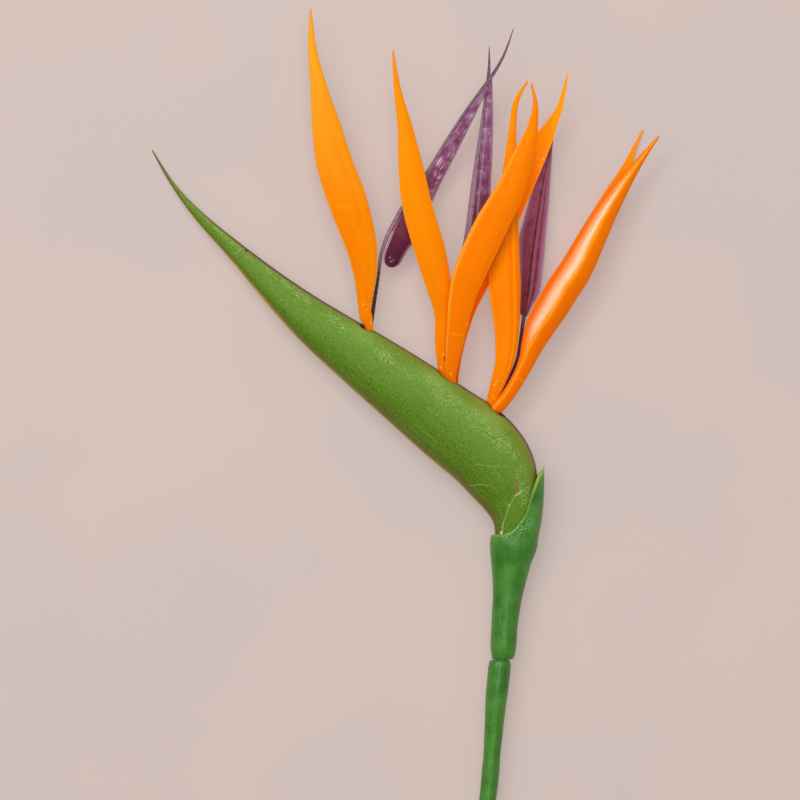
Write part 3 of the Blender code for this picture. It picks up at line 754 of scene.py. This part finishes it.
# name: crest height as a share of the half width, crest place from -1 left to 1 right, finish and
# rows; without a crest place, the rows follow the crest itself and give the widths left and right
SEPALS = {
    "sepal_a": (0.15, 0.0, "tall_orange_sepal", [
        (-44.0, 66.2, 8.7, 1.2), (-44.5, 70.8, 8.9, 1.4), (-45.4, 73.6, 9.3, 2.1),
        (-46.0, 76.4, 9.7, 2.1), (-45.9, 79.4, 10.1, 2.5), (-45.8, 86.7, 11.0, 3.6),
        (-46.2, 92.0, 11.6, 4.4), (-47.4, 99.3, 12.2, 5.4), (-51.3, 112.0, 12.8, 6.5),
        (-56.0, 125.4, 12.5, 6.2), (-59.0, 138.7, 11.8, 4.9), (-61.6, 152.1, 11.0, 2.8),
        (-63.8, 165.5, 10.3, 1.4), (-64.4, 179.0, 9.6, 0.3),
    ]),
    "sepal_b": (0.16, 0.0, "orange_sepal", [
        (-18.4, 49.7, 8.8, 1.1), (-19.5, 55.0, 9.0, 1.5), (-19.4, 58.0, 9.3, 1.9),
        (-19.6, 65.2, 10.2, 2.5), (-19.4, 75.0, 11.4, 2.9), (-20.6, 83.6, 12.9, 4.2),
        (-23.8, 96.5, 14.4, 5.2), (-27.9, 110.7, 15.0, 5.1), (-30.2, 124.0, 15.0, 4.3),
        (-32.2, 137.8, 14.0, 2.6), (-34.9, 151.5, 13.2, 1.2), (-36.4, 164.9, 12.6, 0.3),
    ]),
    "sepal_c": (0.14, 0.1, "warm_orange_sepal", [
        (-15.8, 49.6, 9.6, 1.2), (-16.7, 54.0, 10.1, 1.8), (-15.8, 62.4, 12.2, 2.8),
        (-14.6, 70.8, 14.4, 3.5), (-13.2, 79.7, 16.3, 4.4), (-10.4, 89.0, 17.8, 5.4),
        (-3.9, 103.4, 19.2, 5.7), (2.8, 116.0, 19.6, 4.9), (7.5, 127.9, 19.2, 3.6),
        (10.8, 138.0, 18.2, 1.9), (11.8, 146.5, 17.0, 0.8), (10.4, 153.4, 16.0, 0.3),
    ]),
    "sepal_d": (-0.2, 0.0, "shaded_glowing_sepal", [
        (-15.2, 49.8, 5.4, 1.1), (-15.6, 55.0, 5.4, 1.7), (-14.3, 66.0, 5.3, 2.6),
        (-11.5, 77.0, 5.1, 3.4), (-7.4, 87.0, 5.2, 4.2), (1.5, 107.9, 7.5, 5.0),
        (8.2, 122.4, 9.2, 4.7), (14.1, 133.4, 10.0, 3.4), (17.5, 139.6, 10.3, 2.0),
        (20.4, 145.9, 10.4, 1.0), (23.0, 156.9, 10.4, 0.3),
    ]),
    "sepal_e": (0.14, 0.6, "folded_orange_sepal", [
        (0.6, 35.2, 8.6, 1.1), (-2.9, 44.0, 9.2, 1.5), (-2.6, 46.6, 9.4, 1.75),
        (-0.7, 51.9, 10.2, 2.5), (1.3, 58.1, 11.0, 3.1), (2.1, 64.2, 11.5, 3.8),
        (2.2, 72.4, 12.1, 4.4), (1.6, 84.0, 12.8, 5.4), (1.4, 97.0, 13.3, 5.1),
        (2.1, 108.9, 13.4, 4.1), (3.2, 123.3, 13.1, 2.5), (4.2, 137.4, 12.4, 1.3),
        (5.4, 147.0, 11.8, 0.9), (9.4, 154.3, 11.2, 0.3),
    ]),
    "sepal_f": (-0.2, 0.0, "shaded_orange_sepal", [
        (1.6, 35.6, 5.3, 1.0), (-2.0, 41.0, 5.1, 1.0), (0.0, 45.4, 5.0, 1.2),
        (6.0, 53.0, 4.9, 1.5), (9.4, 60.0, 4.7, 2.2), (13.6, 69.0, 4.3, 3.6),
        (20.4, 81.5, 3.9, 4.6), (26.8, 93.0, 3.5, 4.5), (33.4, 105.8, 3.0, 3.9),
        (38.8, 116.4, 2.4, 2.9), (42.8, 124.4, 1.8, 1.6), (45.9, 131.6, 1.1, 0.8),
        (48.9, 138.2, 0.5, 0.3),
    ]),
    "sepal_g": (0.42, None, "ridged_orange_sepal", [
        (1.0, 35.8, 9.6, 1.0, 1.0), (-1.8, 38.8, 9.9, 1.3, 1.3), (-2.6, 41.4, 10.2, 1.6, 2.2),
        (-2.0, 43.2, 10.5, 1.6, 3.0), (-0.2, 45.3, 10.6, 1.5, 3.0), (2.0, 48.0, 10.8, 1.4, 3.0),
        (4.3, 52.0, 11.0, 1.2, 3.3), (6.0, 55.3, 11.2, 1.2, 3.6), (7.3, 58.0, 11.4, 1.5, 3.8),
        (8.6, 60.8, 11.6, 2.0, 4.0), (9.9, 63.8, 11.8, 3.0, 4.3), (11.5, 66.6, 12.0, 4.2, 4.4),
        (13.6, 70.0, 12.2, 5.4, 4.6), (16.2, 73.6, 12.3, 6.2, 4.5), (18.6, 77.4, 12.5, 6.4, 4.8),
        (22.2, 83.8, 12.7, 6.3, 5.1), (27.0, 91.1, 12.7, 6.2, 4.8), (34.9, 107.1, 11.9, 4.6, 3.8),
        (42.0, 118.9, 10.9, 2.8, 2.4), (49.0, 129.0, 9.8, 1.2, 1.0), (54.2, 135.8, 9.0, 0.3, 0.3),
    ]),
}
BLADE_AROUND = 40
BLADE_ALONG = 120


def blade_skin(name, steps, crest, half, fold=1.6, edge_wave=0.25):
    """A closed blade about its crest: its upper side from right to left, then its underside."""

    def spot(i, j):
        centre, side, up, run, (left, right) = steps[j]
        turn = math.tau * i / BLADE_AROUND
        s = math.cos(turn)
        thick = half * math.copysign(abs(math.sin(turn)) ** 0.7, math.sin(turn))
        if j in (0, len(steps) - 1):
            s, thick = 0.0, 0.0
        width = 0.5 * (left + right)
        rise = crest * width * (0.5 - abs(s) ** fold)
        slow = edge_wave * s * abs(s) * ripple(centre.x, centre.y, 7.0 * s, 13.0)
        slow *= min(width, 4.0) / 4.0
        thin = min(1.0, 0.45 + 0.2 * width)
        return centre + side * ((right if s > 0 else left) * s) + up * (rise + slow + thick * thin)

    return skin(name, BLADE_AROUND, len(steps) - 1, spot)


def about_crest(steps, crest_at):
    """Turns a middle line and half width into a crest line with a width on each side of it."""
    out = []
    for centre, side, up, run, (width,) in steps:
        widths = (width * (1.0 + crest_at), width * (1.0 - crest_at))
        out.append((centre + side * (crest_at * width), side, up, run, widths))
    return out


# Where a point lies on a blade: across from -1 at the left margin to 1, and along from root to tip.
blade_place, takes, gives = group(
    "place on blade",
    [],
    [("Across", "NodeSocketFloat"), ("Along", "NodeSocketFloat"), ("Veins", "NodeSocketFloat")],
)
seat = on_skin(blade_place)
across = reckon(blade_place, "COSINE", times(blade_place, seat["X"], math.tau))
blade_place.links.new(across, gives["Across"])
blade_place.links.new(seat["Y"], gives["Along"])
lanes = {0: times(blade_place, across, 14.0), 1: times(blade_place, seat["Y"], 5.0)}
lanes = wire(blade_place, "CombineXYZ", lanes).outputs[0]
veins = cloud(blade_place, lanes, 1.0, 3.0)
blade_place.links.new(veins, gives["Veins"])


def striped(tree, colour, across, strips):
    """Soft strips along a blade: each its place across, half width, strength and paint."""
    rows = [
        (off(tree, across, at), 0.3 * half, half, strength, 0.0, paint)
        for at, half, strength, *paint in strips
    ]
    return layers(tree, colour, rows)


def sepal_finish(name, stops, margin, strips=(), marks=()):
    """Waxy orange along the blade, with fine length veins, a lighter margin and pinprick glints."""
    made, tree, shader = finish(
        name, 0.34, Specular_IOR_Level=0.4, Specular_Tint=(1.0, 0.5, 0.03, 1.0)
    )
    patches, cells = grained(tree, 12.0, 0.4)
    across, along, veins = use(tree, blade_place, {})
    wandered = wandering(tree, along, patches, 0.1)
    colour = ramp(tree, wandered, stops)
    colour = layers(tree, colour, [
        (veins, 0.45, 0.8, 0.0, 0.3, margin),
        (veins, 0.25, 0.45, 0.3, 0.0, (240, 98, 0)),
    ])
    colour = striped(tree, colour, across, strips)
    edge = reckon(tree, "ABSOLUTE", across)
    colour = layers(tree, colour, [
        # Lighter margin, partly painted rim light; pinprick glints, painted highlights.
        (edge, 0.9, 0.995, 0.0, 0.8, margin),
        (cells, 0.66, 0.74, 0.0, 0.35, (255, 206, 110)),
    ])
    colour = marked(tree, colour, 0.65, marks)
    tree.links.new(colour, shader.inputs["Base Color"])
    tree.links.new(level(tree, cells, 0.35, 0.7, 0.42, 0.26), shader.inputs["Roughness"])
    relief = reckon(tree, "ADD", times(tree, veins, 0.8), cells)
    raise_bump(tree, shader, relief, 0.05, 0.8)
    return made


# Painted highlights: the pale and warm marks below are small glints at the sepals' bases and on
# crinkles; the warm paint also tints the left margin of sepal_c.
DEEP = (240, 82, 0)
PAINTED_GLINT = (255, 206, 126)
WARM = (255, 168, 50)
SEPAL_TINTS = {
    "tall_orange_sepal": (
        [(0.0, 238, 112, 0), (0.2, 246, 128, 0), (0.6, 248, 128, 0), (0.9, 244, 162, 34)],
        (255, 160, 24), [(0.7, 0.3, 0.3, 255, 156, 16)],
        [(-55.8, 111.4, -49.6, 111.8, 0.3, 255, 156, 24), (-46.6, 78.6, -46.5, 78.0, 0.3, *PAINTED_GLINT),
         (-45.4, 76.8, -45.2, 76.4, 0.26, *PAINTED_GLINT), (-43.9, 73.2, -44.0, 72.0, 0.4, *WARM)],
    ),
    "orange_sepal": (
        [(0.0, 240, 112, 0), (0.2, 248, 122, 0), (0.6, 250, 134, 0), (1.0, 254, 144, 6)],
        (255, 164, 24), [(-0.75, 0.2, 0.25, 255, 150, 10)],
        [(-18.9, 60.2, -18.6, 59.6, 0.7, 96, 44, 20), (-19.5, 61.6, -19.3, 61.2, 0.28, *PAINTED_GLINT),
         (-20.2, 57.2, -20.0, 56.8, 0.3, *PAINTED_GLINT)],
    ),
    "warm_orange_sepal": (
        [(0.0, 244, 118, 0), (0.2, 250, 120, 0), (0.6, 247, 118, 0), (1.0, 250, 130, 4)],
        (255, 158, 20), [(-0.9, 0.16, 0.5, *WARM)],
        [(-18.1, 68.8, -10.7, 67.2, 0.34, 255, 150, 30), (-11.2, 71.6, -11.1, 71.2, 0.34, *PAINTED_GLINT),
         (-17.0, 54.9, -16.6, 54.8, 0.3, *PAINTED_GLINT)],
    ),
    "folded_orange_sepal": (
        [(0.0, 242, 118, 0), (0.3, 250, 128, 0), (0.6, 252, 127, 0), (1.0, 255, 140, 6)],
        # Painted light and shade of the fold: a lighter line on the crest and a darker strip beside
        # it.
        (255, 158, 20), [(0.06, 0.12, 0.7, 255, 156, 26), (-0.12, 0.14, 0.5, 240, 100, 0)],
        [(-1.8, 51.4, -2.0, 50.9, 0.4, *PAINTED_GLINT), (-1.4, 52.4, -1.2, 52.1, 0.26, *PAINTED_GLINT),
         (-2.5, 47.2, -1.9, 46.6, 0.3, *WARM)],
    ),
    "shaded_glowing_sepal": (
        # Painted shade: deeper red-orange low down, where this blade lies under its neighbour.
        [(0.0, 240, 72, 0), (0.34, 250, 82, 0), (0.52, 255, 124, 2), (1.0, 255, 144, 12)],
        (255, 156, 24), [],
        [(12.0, 127.4, 13.2, 128.4, 0.34, *WARM), (12.9, 125.0, 14.2, 126.0, 0.3, *WARM),
         (14.2, 127.4, 14.8, 128.2, 0.26, *PAINTED_GLINT), (13.4, 123.6, 14.0, 124.2, 0.26, *WARM),
         (11.4, 125.4, 12.0, 126.0, 0.26, *WARM)],
    ),
    "shaded_orange_sepal": (
        # Painted shade: deeper red-orange low down, where this blade lies under its neighbour.
        [(0.0, 236, 76, 0), (0.3, 250, 96, 0), (0.55, 255, 132, 4), (1.0, 255, 144, 12)],
        (255, 156, 24), [],
    ),
    "ridged_orange_sepal": (
        [(0.0, 248, 134, 0), (0.25, 252, 124, 0), (0.6, 254, 124, 2), (1.0, 255, 140, 8)],
        (252, 120, 0),
        # Painted light and shade of the fold: the right face deeper orange, a strip left of the
        # ridge
        # and the ridge line lighter.
        [(0.6, 0.55, 0.5, 248, 106, 0), (-0.16, 0.16, 0.5, 255, 152, 20),
         (0.02, 0.06, 0.7, 255, 170, 40),
         (-0.86, 0.2, 0.6, *DEEP)],
        [(5.6, 53.2, 8.9, 52.0, 0.3, 255, 162, 34), (8.7, 52.2, 9.1, 51.7, 0.6, 220, 176, 60)],
    ),
}
sepal_finishes = {tint: sepal_finish(tint, *parts) for tint, parts in SEPAL_TINTS.items()}
# A wet streak shines down the middle of the front sepal's left face.
tree = sepal_finishes["ridged_orange_sepal"].node_tree
shader = tree.nodes["Principled BSDF"]
shader.inputs["Coat Roughness"].default_value = 0.14
shader.inputs["Coat IOR"].default_value = 2.0
patches, cells = grained(tree, 8.0, 0.4)
across, along, veins = use(tree, blade_place, {})
STREAK_AT = -0.44
ragged = reckon(tree, "MULTIPLY_ADD", patches, 0.36, -0.18)
ragged = wandering(tree, ragged, cells, 0.4)
off_streak = reckon(tree, "ADD", reckon(tree, "ADD", across, -STREAK_AT), ragged)
off_streak = reckon(tree, "ABSOLUTE", off_streak)
wet = level(tree, off_streak, 0.28, 0.37, 1.0, 0.12)
wet = times(tree, wet, level(tree, across, -0.06, 0.02, 1.0, 0.0))
wet = times(tree, wet, level(tree, along, 0.5, 0.6, 0.15, 1.0))
wet = times(tree, wet, level(tree, along, 0.87, 0.93, 1.0, 0.1))
wet = times(tree, wet, level(tree, cells, 0.36, 0.5, 0.5, 1.0))
tree.links.new(wet, shader.inputs["Coat Weight"])
sockets = {"Height": cells, "Strength": 1.0, "Distance": 0.07 * MM}
tree.links.new(wire(tree, "Bump", sockets).outputs[0], shader.inputs["Coat Normal"])
# Painted light: the blade under its neighbour glows in its own colour, as if lit through it.
tree = sepal_finishes["shaded_glowing_sepal"].node_tree
shader = tree.nodes["Principled BSDF"]
tree.links.new(shader.inputs["Base Color"].links[0].from_socket, shader.inputs["Emission Color"])
shader.inputs["Emission Strength"].default_value = 0.2

for name, (crest, crest_at, tint, rows) in SEPALS.items():
    steps = frames_along(rows, BLADE_ALONG)
    if crest_at is not None:
        steps = about_crest(steps, crest_at)
    sepal = blade_skin(name + "_blade", steps, crest, BLADE_HALF)
    sepal.data.materials.append(sepal_finishes[tint])
    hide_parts(name)
    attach(sepal, "root")


# ------------------------------
# Arrow petals. In each flower the two purple petals are joined into one arrow: a thin dark claw
# that runs on as a grey-lilac rib, and a velvety face with a pale margin joined along it.

# For each: the claw that runs on as a flat rib, as x, y, height, half width and half height; the
# face about its fold, as x, y, height, width left and right of it; then the fold's rise.
ARROWS = {
    "arrow_petals_1": (
        [
            (-43.9, 66.2, 6.6, 0.7, 0.7), (-43.8, 72.0, 6.4, 0.7, 0.65),
            (-42.6, 80.2, 6.4, 0.6, 0.6), (-41.4, 87.9, 6.6, 0.52, 0.5),
            (-40.8, 93.2, 6.8, 0.6, 0.5), (-40.1, 96.6, 7.0, 0.62, 0.5),
            (-38.3, 101.6, 7.3, 0.72, 0.5), (-35.9, 106.4, 7.5, 0.72, 0.5),
            (-32.1, 113.0, 7.8, 0.7, 0.5), (-24.3, 123.8, 8.4, 0.7, 0.5),
            (-18.6, 133.4, 9.7, 0.5, 0.45), (-11.0, 145.0, 11.3, 0.45, 0.4),
            (-3.4, 155.1, 12.6, 0.6, 0.35), (0.5, 161.4, 13.2, 0.45, 0.3),
            (2.7, 166.6, 13.5, 0.3, 0.25), (4.5, 172.0, 13.6, 0.12, 0.12),
        ],
        [
            (-36.9, 91.0, 6.7, 0.8, 0.8), (-36.8, 92.3, 6.8, 2.5, 2.4),
            (-36.4, 94.2, 6.9, 3.1, 3.0), (-35.3, 97.0, 7.0, 3.3, 3.4),
            (-33.6, 100.4, 7.1, 3.7, 3.8), (-32.2, 102.8, 7.2, 4.3, 3.8),
            (-27.2, 113.3, 7.6, 4.2, 3.7), (-23.7, 119.8, 8.0, 3.0, 3.3),
            (-16.3, 132.9, 9.6, 2.3, 2.7), (-8.7, 145.4, 11.3, 1.5, 1.4),
            (-4.4, 152.4, 12.2, 0.6, 0.6),
        ],
        0.16,
        1.6,
    ),
    "arrow_petals_2": (
        [
            (-16.6, 49.3, 7.4, 0.7, 0.7), (-16.3, 56.0, 7.6, 0.7, 0.7),
            (-15.4, 69.7, 8.0, 0.75, 0.6), (-14.2, 83.3, 8.4, 0.85, 0.55),
            (-12.6, 93.5, 8.8, 1.0, 0.5), (-10.8, 103.0, 9.7, 1.1, 0.5),
            (-8.7, 120.4, 10.3, 0.95, 0.5), (-6.9, 134.3, 10.4, 0.6, 0.45),
            (-5.4, 145.2, 10.2, 0.5, 0.4), (-4.1, 154.4, 10.0, 0.6, 0.35),
            (-3.7, 160.0, 9.9, 0.42, 0.3), (-3.7, 166.0, 9.8, 0.12, 0.12),
        ],
        [
            (-7.6, 91.5, 8.8, 1.0, 1.0), (-7.5, 94.5, 9.0, 3.0, 3.0), (-7.0, 101.0, 9.5, 3.5, 3.5),
            (-6.5, 109.0, 9.9, 3.2, 3.2), (-6.0, 117.0, 10.1, 2.7, 2.7),
            (-5.1, 127.0, 10.2, 2.4, 2.3), (-4.3, 137.0, 10.2, 2.0, 1.8),
            (-3.7, 147.0, 10.2, 1.3, 1.2), (-3.4, 155.5, 10.1, 0.6, 0.6),
        ],
        0.16,
        1.6,
    ),
    "arrow_petals_3": (
        [
            (1.6, 35.4, 7.0, 0.6, 0.6), (-1.8, 41.0, 7.1, 0.6, 0.6), (-0.2, 46.6, 7.2, 0.6, 0.6),
            (3.2, 53.3, 7.4, 0.6, 0.6), (5.0, 57.2, 7.4, 0.6, 0.6), (6.3, 61.4, 7.2, 0.6, 0.6),
            (7.2, 67.5, 6.4, 0.6, 0.6), (8.4, 76.0, 5.0, 0.7, 0.6), (9.7, 84.8, 4.2, 0.8, 0.6),
            (10.9, 94.9, 4.1, 0.75, 0.6), (12.6, 106.4, 4.1, 0.7, 0.6),
            (14.2, 117.0, 4.2, 0.6, 0.6), (16.3, 128.2, 4.6, 0.5, 0.5),
            (18.7, 141.2, 5.4, 0.2, 0.2),
        ],
        [
            (8.5, 74.4, 5.6, 1.4, 0.6), (8.8, 75.8, 5.5, 2.2, 1.0), (9.1, 78.7, 5.4, 2.4, 2.0),
            (9.4, 81.0, 5.2, 2.6, 3.1), (9.8, 84.8, 5.1, 2.9, 4.0), (10.9, 94.9, 5.0, 4.1, 4.1),
            (11.8, 101.0, 5.0, 5.1, 3.7), (12.6, 106.4, 5.0, 4.5, 3.4),
            (13.4, 112.0, 5.0, 3.8, 3.1), (14.2, 117.0, 5.0, 3.1, 2.7),
            (15.4, 123.2, 5.1, 2.3, 1.9), (16.3, 128.2, 5.2, 1.6, 1.3),
            (17.1, 132.4, 5.3, 0.9, 0.8), (18.0, 137.6, 5.4, 0.4, 0.4),
        ],
        -0.32,
        0.9,
    ),
}
CLAW_AROUND = 24
CLAW_ALONG = 200
FUZZ_PER_MM = 11
FUZZ_LENGTHS = (0.2, 0.5)
# The sides of a hair, whose root is its first three points and its tip the last
HAIR_FACES = ((0, 1, 2), (0, 3, 1), (1, 3, 2), (2, 3, 0))
RIB_CHANNEL = 0.3


def petal_finish(name, stops, streak, silver_from, glints, strips=(), marks=()):
    """Velvet purple: its own colours from lobe to tip, streaks, silver glints, a pale margin.

    The streaks and glints grow between the two places along the blade in silver_from.
    """
    made, tree, shader = finish(
        name, 0.42, Specular_IOR_Level=0.1, Specular_Tint=(1.0, 0.7, 0.9, 1.0)
    )
    patches, cells = grained(tree, 3.0, 0.33)
    across, along, veins = use(tree, blade_place, {})
    past_lobe = level(tree, along, *silver_from, 0.04, 1.0)
    wandered = wandering(tree, along, patches, 0.16)
    velvet = ramp(tree, wandered, stops)
    velvet = layers(tree, velvet, [
        (veins, 0.25, 0.42, 0.5, 0.0, (84, 30, 56)),
        (veins, 0.5, 0.74, 0.0, 0.6, streak, past_lobe),
        (patches, 0.5, 0.66, 0.0, 0.5, (92, 36, 64)),
    ])
    fleck = {0: times(tree, across, 13.0), 1: times(tree, along, 30.0)}
    fleck = wire(tree, "CombineXYZ", fleck).outputs[0]
    fleck = cloud(tree, fleck, 1.0, 4.0)
    silver = times(tree, level(tree, fleck, 0.46, 0.68), past_lobe)
    silver = times(tree, silver, level(tree, patches, 0.4, 0.56, 1.0, 0.1))
    velvet = blend(tree, times(tree, silver, glints), velvet, rgb(222, 196, 212))
    velvet = striped(tree, velvet, across, strips)
    edge = reckon(tree, "ABSOLUTE", across)
    velvet = layers(tree, velvet, [(edge, 0.86, 1.0, 0.0, 0.75, (196, 150, 182))])
    velvet = marked(tree, velvet, 0.55, marks)
    tree.links.new(velvet, shader.inputs["Base Color"])
    raise_bump(tree, shader, reckon(tree, "ADD", fleck, veins), 0.12, 0.8)
    return made


# Painted highlights: small bluish-white glints at the end of the first arrow's lobe.
LOBE_PAINTED_GLINT = (170, 154, 188)
PETAL_TINTS = {
    "arrow_petals_1": (
        [(0.02, 96, 40, 64), (0.14, 70, 20, 40), (0.36, 84, 26, 46),
         (0.5, 112, 44, 62), (0.62, 130, 68, 96), (0.78, 122, 58, 96), (0.95, 142, 84, 122)],
        (180, 132, 162), (0.52, 0.62), 1.0,
        [(-0.94, 0.12, 0.6, 196, 140, 168), (0.92, 0.2, 0.4, 176, 110, 150)],
        [(-37.6, 94.4, -37.3, 94.3, 0.34, *LOBE_PAINTED_GLINT), (-37.2, 93.0, -36.8, 93.0, 0.34, *LOBE_PAINTED_GLINT),
         (-36.2, 93.6, -36.2, 93.3, 0.26, *LOBE_PAINTED_GLINT)],
    ),
    "arrow_petals_2": (
        [(0.2, 84, 26, 42), (0.36, 100, 38, 62), (0.6, 124, 62, 98), (0.9, 148, 92, 130)],
        (170, 120, 156), (0.3, 0.6), 0.7,
        # The pale strip at -0.36 is a painted highlight.
        [(-0.36, 0.16, 0.3, 196, 170, 200), (0.86, 0.24, 0.4, 178, 120, 160)],
    ),
    "arrow_petals_3": (
        [(0.0, 114, 42, 48), (0.3, 124, 46, 64), (0.58, 150, 74, 100),
         (0.8, 166, 98, 128), (1.0, 168, 108, 140)],
        (146, 76, 104), (0.0, 0.1), 0.1,
        [(-0.9, 0.26, 0.5, 164, 108, 144), (0.86, 0.3, 0.55, 160, 112, 146),
         (0.24, 0.16, 0.6, 150, 98, 120),
         (0.48, 0.08, 0.6, 92, 38, 56), (0.0, 0.09, 0.9, 72, 18, 34)],
    ),
}


def claw_finish(name, dark_to):
    """The claw: rough dark maroon as far as dark_to, then a grey-lilac rib with dark margins."""
    made, tree, shader = finish(name, 0.45, Specular_IOR_Level=0.3)
    patches, cells = grained(tree, 1.6, 0.3)
    seat = on_skin(tree)
    claw = ramp(tree, reckon(tree, "MULTIPLY_ADD", patches, 0.04, seat["Y"]), [
        (0.0, 84, 28, 18),
        (dark_to, 72, 30, 26),
        (dark_to + 0.08, 132, 104, 112),
        (dark_to + 0.35, 146, 112, 132),
        (0.9, 106, 62, 92), (1.0, 104, 62, 86),
    ])
    side = reckon(tree, "ABSOLUTE", reckon(tree, "COSINE", times(tree, seat["X"], math.tau)))
    claw = layers(tree, claw, [(side, 0.72, 0.92, 0.0, 0.7, (74, 34, 42))])
    lit = level(tree, seat["Y"], dark_to, dark_to + 0.08, 0.3, 1.0)
    claw = layers(tree, claw, [
        (cells, 0.5, 0.7, 0.0, 0.45, (184, 160, 172), lit),
        (patches, 0.5, 0.7, 0.0, 0.4, (64, 28, 34)),
    ])
    tree.links.new(claw, shader.inputs["Base Color"])
    raise_bump(tree, shader, cells, 0.15)
    return made


DARK_TO = {"arrow_petals_1": 0.2, "arrow_petals_2": 0.2, "arrow_petals_3": 0.5}

petal_fuzz, tree, shader = finish("petal_fuzz", 0.7)
patches, cells = grained(tree, 3.0, 0.4)
down = blend(tree, level(tree, patches, 0.35, 0.65), rgb(150, 92, 132), rgb(196, 156, 184))
tree.links.new(down, shader.inputs["Base Color"])


def chances(count, seed):
    """Four numbers about 0.5, the same on each run."""
    return [0.5 + 0.9 * noise.noise(Vector((1.7 * count, seed, 3.1 * c))) for c in range(4)]


def fuzz_skin(name, steps, low, high, seed):
    """Short three-sided hairs that stand out along both margins of a face."""
    points, faces = [], []
    count = 0
    for k in range(1, len(steps)):
        stretch = (steps[k][0] - steps[k - 1][0]).length
        hairs_here = max(1, round(stretch * FUZZ_PER_MM))
        for n in range(hairs_here):
            for hand in (-1.0, 1.0):
                count += 1
                chance = chances(count, seed)
                share = (n + chance[0]) / hairs_here
                centre, side, up, run, (left, right) = steps[k]
                before = steps[k - 1][0]
                width = right if hand > 0 else left
                root = before.lerp(centre, share) + side * (hand * (width - 0.12))
                length = low + (high - low) * chance[1]
                lean = side * hand + run * (0.2 + 0.5 * chance[2]) + up * (0.8 * (chance[3] - 0.5))
                tip = root + lean.normalized() * (length + 0.1)
                first = len(points)
                points += [root + run * 0.045, root - run * 0.045, root + up * 0.07, tip]
                faces += [[first + a for a in f] for f in HAIR_FACES]
    made = bpy.data.meshes.new(name)
    made.from_pydata([NECK + point * MM for point in points], [], faces)
    made.update()
    hairs = bpy.data.objects.new(name, made)
    bpy.context.scene.collection.objects.link(hairs)
    close_up(hairs)
    hairs.data.materials.append(petal_fuzz)
    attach(hairs, "root")


for number, (name, (claw_rows, face_rows, fold_rise, fold)) in enumerate(ARROWS.items()):
    face_steps = frames_along(face_rows, BLADE_ALONG)
    arrow = blade_skin(name + "_face", face_steps, fold_rise, BLADE_HALF, fold, 0.15)
    arrow.data.materials.append(petal_finish("velvet_" + name, *PETAL_TINTS[name]))
    claw_steps = frames_along(claw_rows, CLAW_ALONG)

    def claw_spot(i, j):
        centre, side, up, run, (wide, half) = claw_steps[j]
        turn = math.tau * i / CLAW_AROUND
        rough = 0.16 * (1.0 - ease(j / CLAW_ALONG, 0.2, 0.3))
        rough *= ripple(centre.x + 2.0 * math.cos(turn), centre.y, 2.0 * math.sin(turn), 0.9)
        if j in (0, CLAW_ALONG):
            return centre
        height = half * math.sin(turn)
        flat = ease(j / CLAW_ALONG, 0.22, 0.34)
        if height > 0.0:
            height -= flat * RIB_CHANNEL * half * hill(math.cos(turn), 0.0, 0.45)
        out = side * ((wide + rough) * math.cos(turn))
        return centre + out + up * (height + rough * math.sin(turn))

    rib = skin(name + "_claw", CLAW_AROUND, CLAW_ALONG, claw_spot)
    rib.data.materials.append(claw_finish("claw_" + name, DARK_TO[name]))
    union = arrow.modifiers.new("claw", "BOOLEAN")
    union.operation = "UNION"
    union.solver = "EXACT"
    union.material_mode = "TRANSFER"
    union.object = rib
    bpy.ops.object.select_all(action="DESELECT")
    bpy.context.view_layer.objects.active = arrow
    bpy.ops.object.modifier_apply(modifier="claw")
    bpy.data.objects.remove(rib)
    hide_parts(name)
    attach(arrow, "root")
    fuzz_skin(name + "_fuzz", face_steps, *FUZZ_LENGTHS, 10.0 * number)


# ------------------------------
# Table, light and camera. A plain pale light table, a long soft light over the flower's tips, a
# broad one above, and a camera that looks straight down on the flowering head.

bpy.ops.object.select_all(action="DESELECT")
TABLE_SIZE = 6.0
TABLE_GLOW = 1.14
bpy.ops.mesh.primitive_plane_add(size=TABLE_SIZE, location=(0.0, 0.0, 0.0))
table_top = bpy.context.object
table_top.name = "table_top"
plaster, tree, shader = finish("pale_plaster", 0.85)
patches, cells = grained(tree, 90.0, 2.0)
pale = blend(tree, level(tree, patches, 0.35, 0.65), rgb(146, 135, 131), rgb(150, 136, 131))
tree.links.new(pale, shader.inputs["Base Color"])
tree.links.new(pale, shader.inputs["Emission Color"])
shader.inputs["Emission Strength"].default_value = TABLE_GLOW
table_top.data.materials.append(plaster)


def soft_light(name, place, aim, size, power, tint):
    made = bpy.data.lights.new(name, "AREA")
    made.shape = "RECTANGLE"
    made.size, made.size_y = size
    made.energy = power
    made.color = tint
    lamp = bpy.data.objects.new(name, made)
    lamp.location = place
    lamp.rotation_euler = (Vector(place) - Vector(aim)).to_track_quat("Z", "Y").to_euler()
    bpy.context.scene.collection.objects.link(lamp)


LAMP_TINT = (1.0, 0.98, 0.96)
soft_light("key_light", (-0.45, 0.62, 1.1), (0.0, 0.04, 0.0), (1.5, 0.42), 9.0, LAMP_TINT)
soft_light("top_light", (0.05, 0.3, 1.7), (0.0, 0.04, 0.0), (1.2, 1.2), 11.0, LAMP_TINT)
sky = bpy.data.worlds.new("studio")
sky.use_nodes = True
sky.node_tree.nodes["Background"].inputs["Color"].default_value = (1.0, 0.97, 0.94, 1.0)
sky.node_tree.nodes["Background"].inputs["Strength"].default_value = 0.34
bpy.context.scene.world = sky
bpy.context.scene.view_settings.view_transform = "Standard"

# The width of the view on the table, the camera's height and its sensor, all in millimetres
VIEW_WIDTH = 272.0
LENS_HEIGHT = 2600.0
SENSOR_WIDTH = 36.0
lens = bpy.data.cameras.new("camera")
lens.sensor_width = SENSOR_WIDTH
lens.lens = SENSOR_WIDTH * LENS_HEIGHT / VIEW_WIDTH
camera = bpy.data.objects.new("camera", lens)
camera.location = NECK + Vector((-34.0, 45.9, LENS_HEIGHT + 8.0)) * MM
bpy.context.scene.collection.objects.link(camera)
bpy.context.scene.camera = camera
